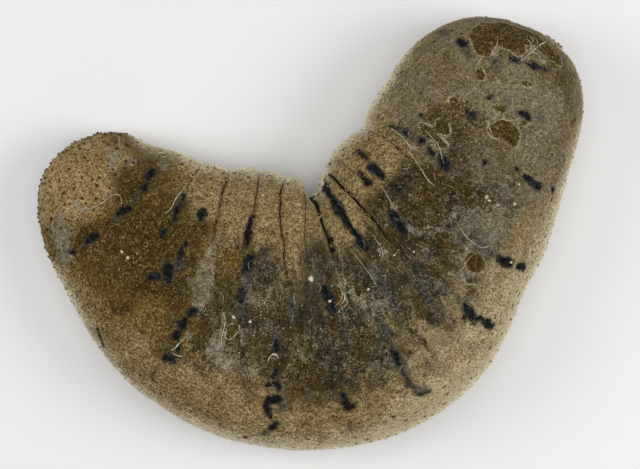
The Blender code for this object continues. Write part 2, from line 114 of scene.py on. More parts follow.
# Blue-black ink marks, in rows across the back. A stroke is (along, angle, width) points.
INK = (
    ((31.2, 134, 1.2), (31.4, 128, 1.9)), ((31.6, 124, 1), (31.3, 119, 1.8)),
    ((30.2, 104, 1.5), (29.2, 101, 2.1), (28, 97, 1.4)),
    ((25.2, 81.5, 1.5), (24.4, 77.5, 2), (23.6, 74, 1.4)), ((21.2, 57.5, 1.3), (20.4, 54, 0.9)),
    ((44.9, 128, 1.1), (44.9, 122, 1.3), (45.4, 113, 1.2)), ((53.6, 122.5, 2.8), (53.8, 119.5, 1.8)),
    ((51.6, 104, 1.5),), ((51.6, 100, 2), (51.7, 97.5, 1.6)), ((49.4, 92.5, 2.6), (50.3, 89, 1.8)),
    ((45.4, 86, 1.2), (46.8, 88, 1.7)), ((44.3, 106.5, 1.2), (43.8, 103.5, 1.6)),
    ((54.6, 46.5, 0.5), (54.4, 42, 0.7), (54.8, 38, 0.5)), ((60, 84, 1.8), (58.8, 82, 2)),
    ((58.1, 78, 2.2), (57.9, 76, 2.4)), ((57.4, 72, 2.2), (57.1, 70, 2.2)), ((58.2, 65, 1.6),),
    ((56.3, 57.5, 2.2), (57.6, 58.5, 1.8)),
    ((70.2, 126, 1.3), (70.2, 122, 1.8), (70.5, 116, 1.7), (70.6, 113, 1.2)),
    ((72.5, 107, 2.1), (72, 104, 2.4), (71.8, 101.5, 1.5)), ((72.3, 95, 1), (71.6, 91, 1.4)),
    ((83.3, 81, 1), (83.4, 78, 1.6)), ((83.2, 69.5, 0.9), (83, 67, 1.2)),
    ((81.6, 62, 1.2), (83, 62.8, 1.6), (84.4, 61.5, 1.4)), ((82.2, 55, 3), (83.8, 55.8, 3)),
    ((81.6, 52, 2.2), (81.9, 48.5, 1.6), (82.5, 45, 1.3)), ((83.6, 41, 1.8), (83.1, 37.5, 2.6)),
    ((98, 58.5, 1.7), (98.2, 54, 2.4), (98.5, 50, 2.1)), ((99.4, 50.5, 1.5),), ((107.9, 108, 0.9),),
    ((97.2, 99, 2.8), (98.8, 95.5, 1.9), (99.1, 92.5, 1.7)), ((109.4, 89, 1.3),),
    ((110.4, 71, 1), (110.6, 68, 1.7), (110.6, 64, 0.6)),
    ((110.6, 60, 0.5), (111, 55, 0.2), (111.5, 49, 0.5)), ((112, 43, 0.9), (113.5, 40, 0.6)),
    ((128.5, 60.5, 1.3), (128.2, 57, 2.8), (128.2, 53.5, 1.7), (129, 49, 2), (129.2, 45, 2),
     (129.4, 40.5, 3.2), (129.5, 37, 1.8)), ((127, 57, 1.6),), ((127.6, 50.5, 1.4),),
    ((142.9, 53, 1.5), (143, 49, 2.6), (143.4, 44.5, 1.8)),
    ((144.2, 38, 1.5), (144.5, 34.5, 2.2), (144.5, 32, 1.8)), ((140.9, 84.5, 1.3),),
    ((163.5, 58.5, 1.7), (163.3, 55.5, 1.9)), ((163, 51, 1.9), (162.8, 48, 2.3), (162.7, 45.5, 1.5)),
    ((163.7, 66, 1.3),), ((163.8, 33, 1.9),), ((191.6, 124.5, 1.9), (191.2, 121, 1.9)),
    ((192, 89, 1.9), (192.1, 86, 1.5)), ((192.6, 79.5, 1.6), (192.5, 76, 2), (192.2, 73, 1.5)),
    ((192.7, 68, 1),), ((179.1, 91, 1.5),), ((172.3, 97.5, 1.3), (172.2, 95.5, 1.6)),
    ((178.4, 74.5, 1.3), (178.2, 72, 1.9), (177.8, 69.5, 1.5)), ((158.8, 132, 1), (158, 138, 0.8)),
    ((158.5, 125, 1.3),), ((158.6, 114, 1.5),), ((157, 108, 1.1), (156.6, 105.5, 1.3)),
    ((157.2, 100.5, 1.5), (156.4, 98.8, 2.2), (155, 96.5, 2)), ((165.8, 120.5, 1.1),),
    ((161.6, 83.5, 1.5),), ((133.4, 106, 1.5), (133, 103.5, 2), (132.5, 100, 2.4), (132.2, 97.5, 1.5)),
    ((143.7, 144.5, 1.3), (143.7, 140, 1.8), (143.8, 135.5, 1.4)),
    ((142, 130, 1.6), (142, 126, 2.3), (141.7, 122, 2), (141.5, 119, 1)),
    ((137.6, 132, 0.9), (137.2, 128, 1), (137, 124.5, 1.9)), ((141.8, 111, 0.9), (141.6, 108.5, 1.1)),
    ((37, 34, 0.9), (39.5, 26, 1.2)), ((77.5, 21, 1),),
    ((113.9, 154, 2.6), (114.4, 147, 1.9), (115.3, 135, 1.9), (116, 127, 2.3), (115.9, 120, 1.9)),
    ((116.3, 116, 1.6), (116.6, 110.5, 2), (116.7, 107, 1.4)), ((104, 127, 0.6), (104.3, 117, 1.3)),
)

# Softer blue-grey stains beside the ink, as strokes too.
STAINS = (
    ((28.2, 97, 2.2), (28.2, 92, 1.2)), ((31.2, 115, 1), (30.8, 108, 1.3)), ((23, 67, 1.2), (24, 73, 1.4)),
    ((51.8, 96, 2.6), (51.5, 93, 1.6)), ((47.8, 93, 1.8),), ((58.6, 59.5, 2.6), (56.5, 55.5, 1.8)),
    ((73.4, 99, 2.4), (72.8, 94, 2), (72.6, 88, 2.2)), ((83, 84, 1.8), (83.3, 78, 2)),
    ((85.2, 51.8, 2.2), (84.4, 48.5, 2)), ((82.4, 34, 2), (81.6, 30.5, 2.5), (81.1, 28.5, 1.7)),
    ((90.5, 64, 1.5), (91, 59.5, 1.7)), ((98.2, 35.2, 1.9),), ((95.9, 108, 1.4), (96.6, 104, 2.2)),
    ((87, 93, 2.6), (87.5, 89, 2)), ((110.5, 83.5, 1.9), (110.9, 80, 2.1)),
    ((110.6, 70, 3), (110.6, 64, 2.6), (111, 58, 2.6), (111, 52, 2.4), (111.9, 45, 2.8), (113.6, 40, 2.2)),
    ((127.6, 75, 2.2),), ((128.4, 66.5, 1.9),), ((132, 86, 2.2),), ((141.2, 81, 1.7), (141.2, 76.5, 1.5)),
    ((142.4, 69, 2.2), (142.5, 65, 2.8), (142.5, 61, 2.6), (142.8, 56, 2.6), (143, 51, 2)),
    ((115.8, 99, 2.4), (116.4, 94, 3), (115.6, 88, 2.6), (115.4, 83, 2.4)),
    ((124, 84, 2.2), (124, 80, 2.4), (123.6, 76, 1.8)),
    ((158.4, 130, 1.6), (158.2, 126, 2.2), (157.8, 121.5, 1.7)), ((179.1, 62, 2),),
    ((189.3, 96, 3), (188.6, 92.5, 2.4)), ((179.8, 84.5, 1.6),), ((172.2, 93, 1.6),),
    ((191.5, 125.5, 3), (191.2, 121.5, 2.8), (189.6, 116, 2.4), (188.6, 111, 2.2)),
    ((193, 157, 1.8), (193.2, 150, 2.6), (192.8, 144, 2.2)), ((192.8, 65, 1.6), (193, 61, 1.2)),
    ((178.5, 83, 1.4),),
)

# Patches where the grey film has peeled and the bare brown skin shows: (along, angle, diameter) dabs.
PEELED = (
    ((199.5, 119, 4.5), (197, 116, 6.4), (194, 111, 6), (191.5, 106, 4.6)),
    ((200.6, 108, 7), (200.4, 99, 8.4), (200.2, 91, 8.6), (200.2, 82, 6.6)),
    ((197, 106, 6), (196.6, 96, 6), (196, 88, 5)),
    ((200.6, 72, 5), (199, 66, 6.4), (198, 60, 6), (197.4, 54, 5)), ((185.5, 101, 2.8), (184, 99.5, 3.2)),
    ((186.3, 79.5, 1.6), (186.2, 76.5, 1.9), (186.4, 74, 1)), ((177.6, 87, 2), (177.6, 84, 2.2)),
    ((176, 70.5, 1.8),), ((174.2, 108, 3), (173, 105.5, 3.2), (171.5, 102.5, 2)),
    ((166, 108.5, 2.4), (165.4, 105, 3.4), (164.8, 102.5, 2.2)),
    ((163, 116, 2), (162.4, 112.5, 3), (161.6, 108, 2.8), (161, 104, 2.6), (160.6, 101.5, 1.5)),
    ((171.3, 85, 3.4), (171.8, 82, 5.2), (171.7, 78, 5.6), (171.3, 74.5, 4.6)),
    ((138.4, 67, 5), (138.2, 63.5, 5.2)), ((100.8, 99, 3.4), (101.2, 95, 3.6)),
    ((71.3, 82, 3.4), (71, 79.5, 2.8)),
)

# Thick scraps of grey film, from broad patches to narrow shreds: (along, angle, diameter) dabs.
SCRAPS = (
    ((12.6, 63, 3.8), (14.6, 57, 6.2), (17.5, 51, 6.8), (20.5, 48, 5.4)),
    ((14.5, 133, 3), (17, 126, 3.8), (18, 119, 2.4)), ((21.8, 138, 2.2), (23.2, 135, 2.8)),
    ((12.4, 166, 1.4), (14.6, 152, 1.6), (17, 142, 1.2)), ((6.5, 152, 1.5), (6.2, 136, 1.8)),
    ((14.6, 87, 1.4), (15.4, 82, 1.6), (17.4, 84.5, 1.8), (19.2, 88, 1.4)),
    ((32.8, 146, 1.6), (34.6, 141, 2.4)),
    ((60.5, 112, 1.4), (59.8, 104, 2.8), (60.4, 96, 4.6), (60.6, 90, 5.2), (60.8, 86.5, 3.2)),
    ((57.2, 92, 2.8),), ((68.5, 77, 4), (67.5, 71, 4.4), (71, 66, 3)), ((60.4, 73, 2),),
    ((68.3, 86, 1.4), (68.8, 83, 1.4), (68.6, 79.5, 1.2)), ((74.6, 82, 2.4), (74.8, 78, 1.8)),
    ((104.2, 104, 1.7), (104.3, 101, 1.6), (104, 98, 1.3), (103.4, 96, 1.3)),
    ((106.3, 97, 1.6), (107.2, 93.5, 1.8), (108.4, 90.5, 1.6)), ((114.6, 98.5, 1.3), (115.1, 95.5, 1.3)),
    ((121.5, 101, 1.5), (122.3, 99.5, 1.3)), ((134.6, 96.5, 1.7), (134.4, 93.5, 1.7), (133.8, 91, 1.3)),
    ((137.5, 90, 1.1), (138.8, 86.5, 1.3), (139.6, 84, 1.1)), ((136.3, 108, 1.3), (135.7, 105, 1.4)),
    ((160.2, 111, 1.4), (158.8, 107, 1.5), (157.4, 104, 1.2)), ((155, 119, 1.1), (154.2, 115, 1.2)),
    ((200.5, 78, 1.5), (198, 77, 1.4), (195.5, 79, 1.5), (193.4, 82, 1.6)),
    ((196.8, 103, 1.2), (195.6, 101, 1.3), (193.8, 99, 1.5), (192.2, 98.5, 2.4), (190.8, 99.5, 1.6)),
    ((195.4, 72, 1.5), (194.6, 69, 1.5)), ((174.4, 82, 1.6), (174.2, 86, 1.5), (172.6, 88, 1.2)),
    ((141.6, 71, 1.6), (139.6, 72.5, 1.6), (136.5, 72, 1.4)),
    ((134.4, 66, 1.5), (133.4, 70, 1.7), (132.6, 74, 1.7)),
)

# Soft blotches over the ground colours: (along, angle, radius, strength), in deep brown, in the grey of a
# thin veil of mucus, and in a dark haze.
DEEP_BROWN = (
    (40.3, 64, 1.8, 0.9), (27.5, 91, 3, 0.7), (98.5, 39, 1.5, 0.8), (176, 66, 3.5, 0.4), (27, 112, 6, 0.8),
    (33, 94, 7, 0.7), (39.5, 101, 6, 0.7), (24, 75, 7, 0.6), (34, 72, 9, 0.5), (44, 84, 8, 0.65),
    (48, 103, 7, 0.8), (40, 118, 6, 0.6), (29, 135, 7, 0.5), (33, 150, 6, 0.4), (56, 86, 4, 0.6),
    (63, 97, 3.5, 0.6), (56, 112, 3.5, 0.7), (71, 80, 4, 0.7), (66, 88, 4, 0.5), (90, 64, 7, 0.8),
    (84, 69, 4, 0.6), (98, 62, 6, 0.7), (101, 104, 3, 0.7), (101, 94, 5, 0.8), (105, 80, 5, 0.4),
    (112, 74, 5, 0.4), (117, 98, 4, 0.5), (124, 104, 5, 0.5), (128, 84, 6, 0.8), (121, 80, 4, 0.5),
    (134, 113, 5, 0.9), (139, 106, 5, 0.9), (147, 108, 5, 0.7), (143, 98, 5, 0.5), (150, 95, 6, 0.6),
    (137, 66, 4, 0.6), (135, 80, 4, 0.6), (153, 80, 7, 0.7), (160, 92, 6, 0.5), (166, 98, 7, 0.6),
    (164, 113, 5, 0.6), (170, 104, 5, 0.5), (158, 70, 5, 0.4), (166, 80, 5, 0.4), (172, 90, 4, 0.4),
    (198, 98, 7, 0.9), (199, 75, 6, 0.6), (197, 50, 6, 0.5), (192, 98, 5, 0.6), (14, 156, 6, 0.4),
    (22, 158, 6, 0.45), (30, 160, 5, 0.35), (26, 122, 5, 0.4), (167, 98, 8, 0.6), (160, 100, 5, 0.4),
    (181, 34, 4, 0.5), (187, 42, 4, 0.6), (191, 47, 4, 0.7), (195, 51, 4, 0.7), (165, 110, 6, 0.5),
    (175, 98, 5, 0.4), (172, 72, 6, 0.4), (50, 89, 6, 0.7), (56, 100, 4, 0.5), (119, 92, 5, 0.5),
)
GREY_VEIL = (
    (14, 55, 4.5, 0.8), (18, 51, 4.5, 0.9), (21, 46, 3.5, 0.7), (61, 100, 6, 0.4), (62, 112, 4, 0.4),
    (69, 70, 7, 0.45), (76, 66, 6, 0.5), (74, 92, 4, 0.5), (79, 95, 4, 0.5), (83, 85, 4, 0.4),
    (88, 78, 5, 0.35), (95, 80, 5, 0.35), (110, 90, 4, 0.5), (106, 98, 4, 0.4), (115, 88, 5, 0.4),
    (108, 70, 5, 0.4), (141, 84, 5, 0.5), (146, 76, 6, 0.6), (148, 66, 7, 0.6), (143, 60, 5, 0.6),
    (156, 52, 7, 0.2), (163, 118, 3, 0.5), (160, 104, 3, 0.6), (157, 100, 3, 0.5), (168, 66, 7, 0.6),
    (180, 70, 9, 0.7), (186, 84, 7, 0.6), (178, 105, 7, 0.5), (184, 60, 8, 0.5), (170, 55, 6, 0.5),
    (176, 88, 5, 0.4), (130, 60, 5, 0.5), (119, 58, 6, 0.45), (106, 62, 5, 0.4),
)
DARK_HAZE = (
    (121, 89, 6, 0.45), (89, 90, 6, 0.7), (92, 98, 5, 0.5), (99, 97, 4, 0.8), (97, 108, 4, 0.5),
    (86, 78, 4, 0.4), (75, 86, 5, 0.5), (97, 76, 5, 0.4), (105, 88, 4, 0.4), (118, 90, 4, 0.4),
    (130, 94, 5, 0.5), (141, 108, 4, 0.6), (143, 72, 4, 0.5), (60, 92, 5, 0.45), (50, 96, 4, 0.5),
    (53, 88, 4, 0.4), (163, 76, 5, 0.3), (98, 120, 5, 0.5),
)
DAB_STEP = 1.2  # distance between the round dabs that a stroke is made of
DAB_REACH = 14  # how far along the body from a dab or a blotch its field is worked out
DEPTH_LIMIT = 3.0  # a depth inside or outside an outline is worked out up to this

# Where one ground colour gives way to another: the angle at which it does, at places along the body.
INNER_TAN = (
    (0, -60), (5, 0), (10, 48), (16, 70), (22, 98), (27, 130), (34, 146), (44, 130), (52, 120), (60, 112),
    (72, 107), (84, 103), (94, 103), (104, 108), (116, 112), (128, 108), (140, 116), (152, 118), (160, 126),
    (176, 124), (190, 130), (204, 150),
)
OUTER_TAN = (
    (0, 0), (20, 30), (28, 44), (38, 54), (50, 62), (60, 60), (72, 66), (82, 68), (92, 60), (102, 66),
    (112, 77), (122, 82), (132, 80), (142, 66), (150, 62), (162, 56), (172, 48), (204, 46),
)
PALE_RIM = (
    (0, 0), (50, 0), (70, 26), (90, 29), (104, 38), (116, 47), (128, 47), (140, 40), (156, 28), (168, 14),
    (204, 4),
)
INNER_WANDER = ((6, 7.0, 23),)
INNER_SOFTNESS = 24  # degrees on either side of a border over which the colour changes
MOUTH_SOFTNESS = 16  # and what the mouth end adds to it
OUTER_SOFTNESS = 24
RIM_SOFTNESS = 20

# Stretches over which a share rises or falls, in millimetres along the body or degrees round it. Four
# numbers are a plateau, which rises over the first two and falls over the last two.
CENTRE_ALONG = (52, 74, 150, 176)
BACK_ROUND = (42, 72, 98, 130)
EVEN_ALONG = (96, 120)
ORAL_ALONG = (40, 14)
MOUTH_ALONG = (34, 14)
FILM_ALONG = (150, 170)
FILM_ROUND = (26, 46)
FILM_FADE = (172, 104)
FILM_BAND_ALONG = (142, 152)
FILM_BAND_ROUND = (42, 62, 70, 86)
MOUTH_TIP = (22, 8)
VENT_TIP = (30, 10)  # from the vent end

# The film's depth is a slope times its share, less what the edge takes.
FILM_SLOPE = 3.0
FILM_EDGE = 0.6
FILM_BAND_SLOPE = 2.2
FILM_BAND_EDGE = 0.8

# How far up the skin faces, from -1 to 1, where the painted glow of the outline and the pale sole begin.
EDGE_FACING = 0.72
TIP_FACING = 0.6  # and how much lower the rim begins at the tips
EDGE_POWER = 1.4
SOLE_FACING = (0.0, -0.75)
HALF_GIRTH = 34.0  # radius of the round body that streaks are drawn on

# The columns and rings of the skin's mesh, in degrees and millimetres. The upper columns stand closer.
LEFT_COLUMN = -8
RIGHT_COLUMN = 188
UPPER_COLUMNS = 236
LOWER_COLUMNS = 74
RING_STEP = 0.37
MOUTH_RINGS = 66
VENT_RINGS = 76
FIRST_TURN = 0.01  # how far round an end's curve its first ring stands, in radians

# How coarsely the fields' angles wander, in degrees, and the skin's fine unevenness: reach, size and seed
# of each noise.
COARSE = ((9, 9.0, 21), (6, 3.5, 22))
UNEVENNESS = ((0.10, 1.4, 51), (0.16, 3.6, 52), (0.25, 9.0, 53))
CALM_SOLE = 0.7  # the share of it that the sole goes without

# How the outlines of marks are roughened: size, reach and seed of the noise.
ROUGH_INK = (1.8, 0.6, 11)
ROUGH_PEEL = (3.0, 0.8, 31)
ROUGH_SCRAP = (2.0, 0.7, 41)
ROUGH_BLOTCH = (4.0, 2.2, 46)

# The skin's directions are measured between places this far on either side, along and round the body.
PROBE_ALONG = 0.2
PROBE_ROUND = 1.0
PROBE_FROM_TIP = 0.25

# A kind of tuft. The profile's rows, from the sunk root up, are radius, height, paleness and darkness. Tip
# and root are how far the ends stand out beyond it. Lean is how far the tufts lean at random, and rough how
# far their sides stray from a round.
Kind = namedtuple("Kind", "profile sides tip root lean rough")
RING_FOOT = Kind(
    ((0.74, -0.30, 0.0, 0.0), (0.66, 0.04, 0.3, 0.0), (0.54, 0.17, 1.0, 0.0), (0.40, 0.11, 0.3, 0.9),
     (0.26, -0.04, 0.0, 1.0)), 7, 0.0, 0.0, 0.05, 0.12)
NUB_FOOT = Kind(
    ((0.52, -0.30, 0.2, 0.0), (0.44, 0.10, 0.5, 0.1), (0.36, 0.28, 0.0, 0.85), (0.20, 0.48, 0.0, 0.95)),
    6, 0.05, 0.0, 0.30, 0.2)
SOLE_FOOT = Kind(
    ((0.70, -0.30, 0.0, 0.0), (0.52, 0.22, 0.2, 0.0), (0.50, 0.52, 0.4, 0.0), (0.66, 0.70, 0.9, 0.0),
     (0.50, 0.79, 0.6, 0.2)), 6, 0.0, 0.0, 0.05, 0.05)
GRANULE = Kind(((0.28, 0.02, 0.0, 0.0),), 4, 0.16, 0.25, 0.12, 0.2)
LUMP = Kind(((0.7, -0.3, 0.0, 0.0), (1.0, 0.2, 0.0, 0.0), (0.6, 0.55, 0.0, 0.0)), 7, 0.1, 0.0, 0.35, 0.4)
TUFT_SIZES = (0.6, 1.2)
TUFT_PATCH = 0.0011  # radius of a tuft's own patch on the unwrap
TUFT_UNDERSIDE = 0.15  # and the share of it that the underside's disc has
EDGE_OF_TIP = 0.1  # no tuft grows nearer than this to either tip
CLEAR_OF_LIPS = 1.6

# The tube feet: how far apart they stand, and where the back ends and the sole begins.
FOOT_SPACING = 2.5
MOUTH_CROWDING = 0.65  # how much closer they stand at the mouth end
BACK_TRIES = 30000
SOLE_TRIES = 14000
LOWEST_BACK = -0.55  # the sine of the angle down to which the back's feet grow
SOLE_HALF_WIDTH = 0.82  # the cosine of the angle out to which the sole's feet grow
NUBS_ALONG = 24  # only nubs grow nearer to the mouth than this
NUBS_ALONG_WANDER = 7
NUBS_BELOW = 0.34  # and below this sine of the angle
NUBS_BELOW_WANDER = 0.12
FOOT_SIZE = (0.45, 0.75)  # the smallest size, and what chance can add to it
LOW_FEET = (0.45, 0.1)  # sines of the angles over which the feet get smaller towards the sole
FLANK_FEET = (0.35, 0.65)  # cosines over which they get larger towards the widest level

GRANULE_PITCH = 0.0036  # on the unwrap, a little over a tuft's patch
GRANULE_STRAY = 0.0006
GRANULE_ALONG = (0.006, 0.990)
GRANULE_ROUND = 0.004
GRANULE_SHIFT = 0.618  # each column's shift along the body against the last one's, in pitches
GRANULE_CHANCE = 0.9
GRANULE_PIECES = 4
CLEAR_OF_SLIT = 0.3
CLEAR_OF_FOOT = (0.25, 0.5)  # a distance, and the share of a foot's size that is added to it

THREAD_SIDES = 5
THREAD_STEP = 0.6
THREAD_SINK = 1.2  # how deep its ends start in the skin, in radii
THREAD_RISE = 2.2  # and how far it rises from there to the middle
THREAD_FULLNESS = 0.65
THREAD_LUMPS = 0.6
THREAD_STRIP = 0.0016  # width of a thread's strip on the unwrap
THREAD_CAP = 0.0005  # and how far its pointed ends reach

# Loose threads of dried mucus: radius, then (along, angle) points.
THREADS = (
    (0.26, ((14.8, 77), (17.3, 84), (20.2, 90), (22.3, 97), (23.5, 103), (25.1, 106), (27.1, 104),
            (27.6, 101), (26.9, 99))),
    (0.22, ((13.3, 162), (15.5, 145), (17.6, 137))),
    (0.30, ((44.1, 141), (43.8, 132), (42.9, 123), (42.8, 118), (41.6, 114), (40, 114))),
    (0.20, ((5.7, 144), (6.3, 131), (6.1, 123))),
    (0.34, ((202.9, 42), (199, 71), (195.9, 79), (193.4, 83), (190.9, 86))),
    (0.24, ((201, 81), (199.5, 78), (198, 80.5), (196, 77))),
    (0.20, ((199.8, 85), (198.5, 80), (196.8, 79), (195, 82))),
    (0.24, ((194.2, 69), (195.5, 73), (196.2, 77), (195, 80.5))),
    (0.22, ((197.2, 104), (195.6, 101), (193, 99.5), (190.6, 100.5))),
    (0.20, ((201.2, 76), (199, 74), (196.3, 81), (195, 78))),
    (0.22, ((202.9, 42), (202.8, 33), (202.5, 28))),
    (0.20, ((12.2, 60), (12.2, 50), (13.7, 49))),
    (0.24, ((157.3, 138), (156.9, 130), (155.8, 123), (155, 116), (157, 113))),
    (0.22, ((162.6, 115), (161.2, 110), (160, 105), (158.1, 102), (156.1, 100))),
    (0.28, ((153.5, 119), (151.8, 112.5), (150.4, 107), (148.8, 101.5), (148.3, 97))),
    (0.22, ((138.9, 118.5), (137.9, 113), (136.8, 109.5), (135.8, 106.5), (135.3, 103.5))),
    (0.24, ((103.9, 98.5), (103.6, 96), (102.2, 94), (100.9, 93.2))),
    (0.20, ((143.4, 81), (142.1, 76), (141.9, 70), (142.9, 64), (144.5, 63))),
    (0.18, ((141.5, 59), (140.8, 55), (139.4, 54))),
    (0.22, ((154.5, 27), (152.6, 12), (150, 9))),
    (0.16, ((140.7, 67), (138.1, 69), (135.1, 70), (131.5, 74))),
    (0.16, ((131.8, 67), (133.8, 61), (135.4, 53))),
    (0.16, ((106.4, 126), (108.6, 121), (105.9, 120))),
    (0.16, ((112.2, 109), (113.1, 104), (114, 97), (114.2, 93))),
    (0.16, ((123.3, 109), (122.4, 104), (121.7, 100), (118.7, 98))),
    (0.18, ((102.1, 102), (103, 98), (101.9, 95), (99.4, 93))),
    (0.24, ((67.6, 87), (68.9, 84), (69, 79), (69.2, 73))),
    (0.18, ((163.8, 39), (162.7, 34), (161, 33))),
    (0.18, ((185.5, 104), (188.1, 104), (190.5, 104))),
    (0.16, ((172.4, 89), (170.3, 86), (168.1, 82))),
    (0.16, ((174.5, 84), (175.1, 79), (176.9, 74))),
    (0.50, ((83.7, 74), (83.5, 75.8), (82.4, 76.2), (81.6, 74.6), (81.2, 72.5))),
    (0.30, ((55.9, 62.5), (57.2, 63), (58.1, 66), (59.3, 70.5), (60.5, 73))),
    (0.26, ((57, 61.5), (58.9, 61.8), (60.6, 63))),
)

# Grains of sand and shell stuck to the skin: along, angle, radius.
PALE_GRAINS = (
    (93.5, 103, 0.8), (71, 86, 0.6), (75.5, 86, 0.55), (34.3, 86, 0.6), (36.8, 86, 0.5), (153.4, 75, 0.5),
    (98.5, 95, 0.45), (90, 140, 0.45), (72.8, 141, 0.45), (129.4, 91, 0.35), (124.1, 96, 0.35),
    (111.5, 94, 0.4), (143.8, 45, 0.5),
)
PINK_GRAINS = ((154, 77, 0.6), (156.1, 61, 0.6), (160.8, 62, 0.45), (153.7, 70, 0.4))

FIBRE_TRIES = 9000
FIBRE_SPACING = 3.4
FIBRE_LENGTHS = (0.8, 1.7)  # from a fibre's middle to each end
FIBRE_RADII = (0.05, 0.10)
FIBRE_TURN = 0.7  # how far a fibre strays from straight round the body, in radians
FIBRE_BEND = 0.5
DEGREES_A_MM = 1.8  # about how far round the body a millimetre is


def srgb(red, green, blue):
    """A colour given as it is seen, 0 to 255, as the linear RGBA that a shader takes."""
    def linear(value):
        share = value / 255
        return share / 12.92 if share <= 0.04045 else ((share + 0.055) / 1.055) ** 2.4

    return (linear(red), linear(green), linear(blue), 1.0)


BROWN = srgb(100, 78, 34)
UMBER = srgb(62, 50, 23)
DEEP = srgb(57, 40, 10)
TAN = srgb(140, 120, 82)
ORAL_TAN = srgb(154, 130, 86)
EVEN_TAN = srgb(136, 120, 94)
PALE = srgb(176, 160, 126)
# A painted glow for the outline, standing in for light that shines through the thin skin where it turns away.
EDGE_GLOW_PAINT = srgb(240, 230, 202)
FILM_DARK = srgb(88, 78, 58)
FILM_LIGHT = srgb(134, 123, 102)
FILM_MAUVE = srgb(120, 109, 94)
CENTRE_VEIL = srgb(116, 109, 92)
VEIL = srgb(98, 90, 72)
VEIL_LIGHT = srgb(132, 123, 102)
SCRAP_DARK = srgb(98, 90, 74)
SCRAP_LIGHT = srgb(154, 146, 128)
BARE_DARK = srgb(54, 39, 17)
BARE_LIGHT = srgb(92, 74, 42)
INK_BLACK = srgb(12, 13, 15)
INK_FLECK = srgb(54, 60, 67)
INK_HALO = srgb(48, 48, 44)
STAIN = srgb(66, 70, 73)
HAZE = srgb(34, 33, 26)
# painted shade for the narrow slits at the bottom of the folds
PAINTED_SLIT_SHADE = srgb(18, 15, 9)
SOLE_PALE = srgb(160, 148, 118)
RIM_PALE = srgb(182, 161, 110)
PIT_DARK = srgb(40, 26, 10)
MOUTH_DOT = srgb(64, 39, 20)
WEB_PALE = srgb(164, 156, 134)
CURL_PALE = srgb(144, 125, 76)
GLINT = srgb(196, 182, 142)
FLOOR_GREY = srgb(223, 223, 224)
SKY = srgb(250, 250, 250)

# Darker and lighter tone of each small part's finish, the size of its mottling, and its roughness.
MUCUS = (srgb(124, 114, 90), srgb(192, 184, 162), 1.2, 0.5)
SHELL = (srgb(152, 142, 116), srgb(210, 202, 178), 0.8, 0.6)
PINK = (srgb(150, 116, 90), srgb(208, 178, 152), 0.8, 0.6)
LIPS = (srgb(92, 72, 42), srgb(166, 146, 104), 1.1, 0.5)
TENTACLES = (srgb(58, 48, 34), srgb(132, 116, 86), 0.7, 0.45)

# The skin's grains, glints and pores are cells of these sizes.
GRAIN = 0.45
GLINT_CELL = 1.05
PIT_CELL = 1.7
PORE_RING = 0.27  # how far from a pore's middle its pale ring lies, in cells
GRAIN_HUES = (1.0, 1.14, 1.5)  # how much more a dark grain loses of green and blue than of red

# Noises on the skin: size in millimetres, detail, roughness, seed and distortion.
SPECK = (1.7, 4.0, 0.8, 20)
TAN_PATCHES = (8.0, 5.0, 0.7, 29)
VEIL_PATCHES = (9.0, 2.0, 0.5, 30)
WEB_PATCHES = (4.5, 2.0, 0.6, 0)
MAUVE_PATCHES = (11.0, 3.0, 0.6, 31)
SHADE_PATCHES = (7.0, 4.0, 0.7, 21)
SHREDS = (1.5, 5.0, 0.75, 28, 0.6)
PEEL_RIM = (3.0, 3.0, 0.6, 15)
INK_FLECKS = (1.1, 3.0, 0.7, 25)

# Streaks round the body: width and length in millimetres, detail, roughness and seed.
BROWN_STREAKS = (4.0, 9.0, 5.0, 0.65, 5)
HAZE_STREAKS = (5.0, 12.0, 4.0, 0.65, 6)
VEIL_STREAKS = (2.6, 6.0, 6.0, 0.7, 7)
FILM_STREAKS = (5.0, 8.0, 5.0, 0.7, 12)

# Thin wandering lines: size of their bends in millimetres, width as a share of the noise, and seed.
WEB_LINES = ((2.4, 0.016, 8), (1.5, 0.014, 9))
FIBRE_LINES = ((2.2, 0.014, 13), (3.6, 0.010, 14))
CURL_LINES = (1.3, 0.035, 24)

# How a field's edge is broken up: size and reach of the noise, its seed, the reach of each grain, and the
# noise's detail.
RAGGED = {
    "centre": (6.0, 0.7, 1, 0.15),
    "inner": (5.0, 0.5, 2, 0.15),
    "outer": (6.0, 0.5, 3, 0.15),
    "pale": (3.0, 0.5, 4, 0.2),
    "film": (2.6, 1.3, 10, 0.1),
    "peel": (1.3, 0.45, 11, 0.08),
    "brown": (3.0, 0.45, 16, 0.15),
    "veil": (2.2, 0.55, 17, 0.1),
    "haze": (2.4, 0.5, 18, 0.2),
    "slit": (1.0, 0.14, 22, 0.0, 2.0),
    "ink": (1.4, 1.2, 23, 0.3),
    "stain": (2.0, 1.2, 26, 0.5),
    "scrap": (1.6, 0.9, 27, 0.15),
}

FLOOR_SIZE = 6.0
SKY_STRENGTH = 0.36

# The lamps, which point at the origin: place in millimetres, diameter in metres, and power in watts.
LAMPS = {
    "key": ((500, -40, 550), 0.4, 2.5),
    "fill": ((-500, 40, 550), 0.4, 1.8),
    "overhead": ((0, 60, 1500), 1.0, 6.9),
}
CAMERA_PLACE = (2.95, -0.59, 670)
SENSOR_WIDTH = 36.0
FOCAL_LENGTH = 123.9


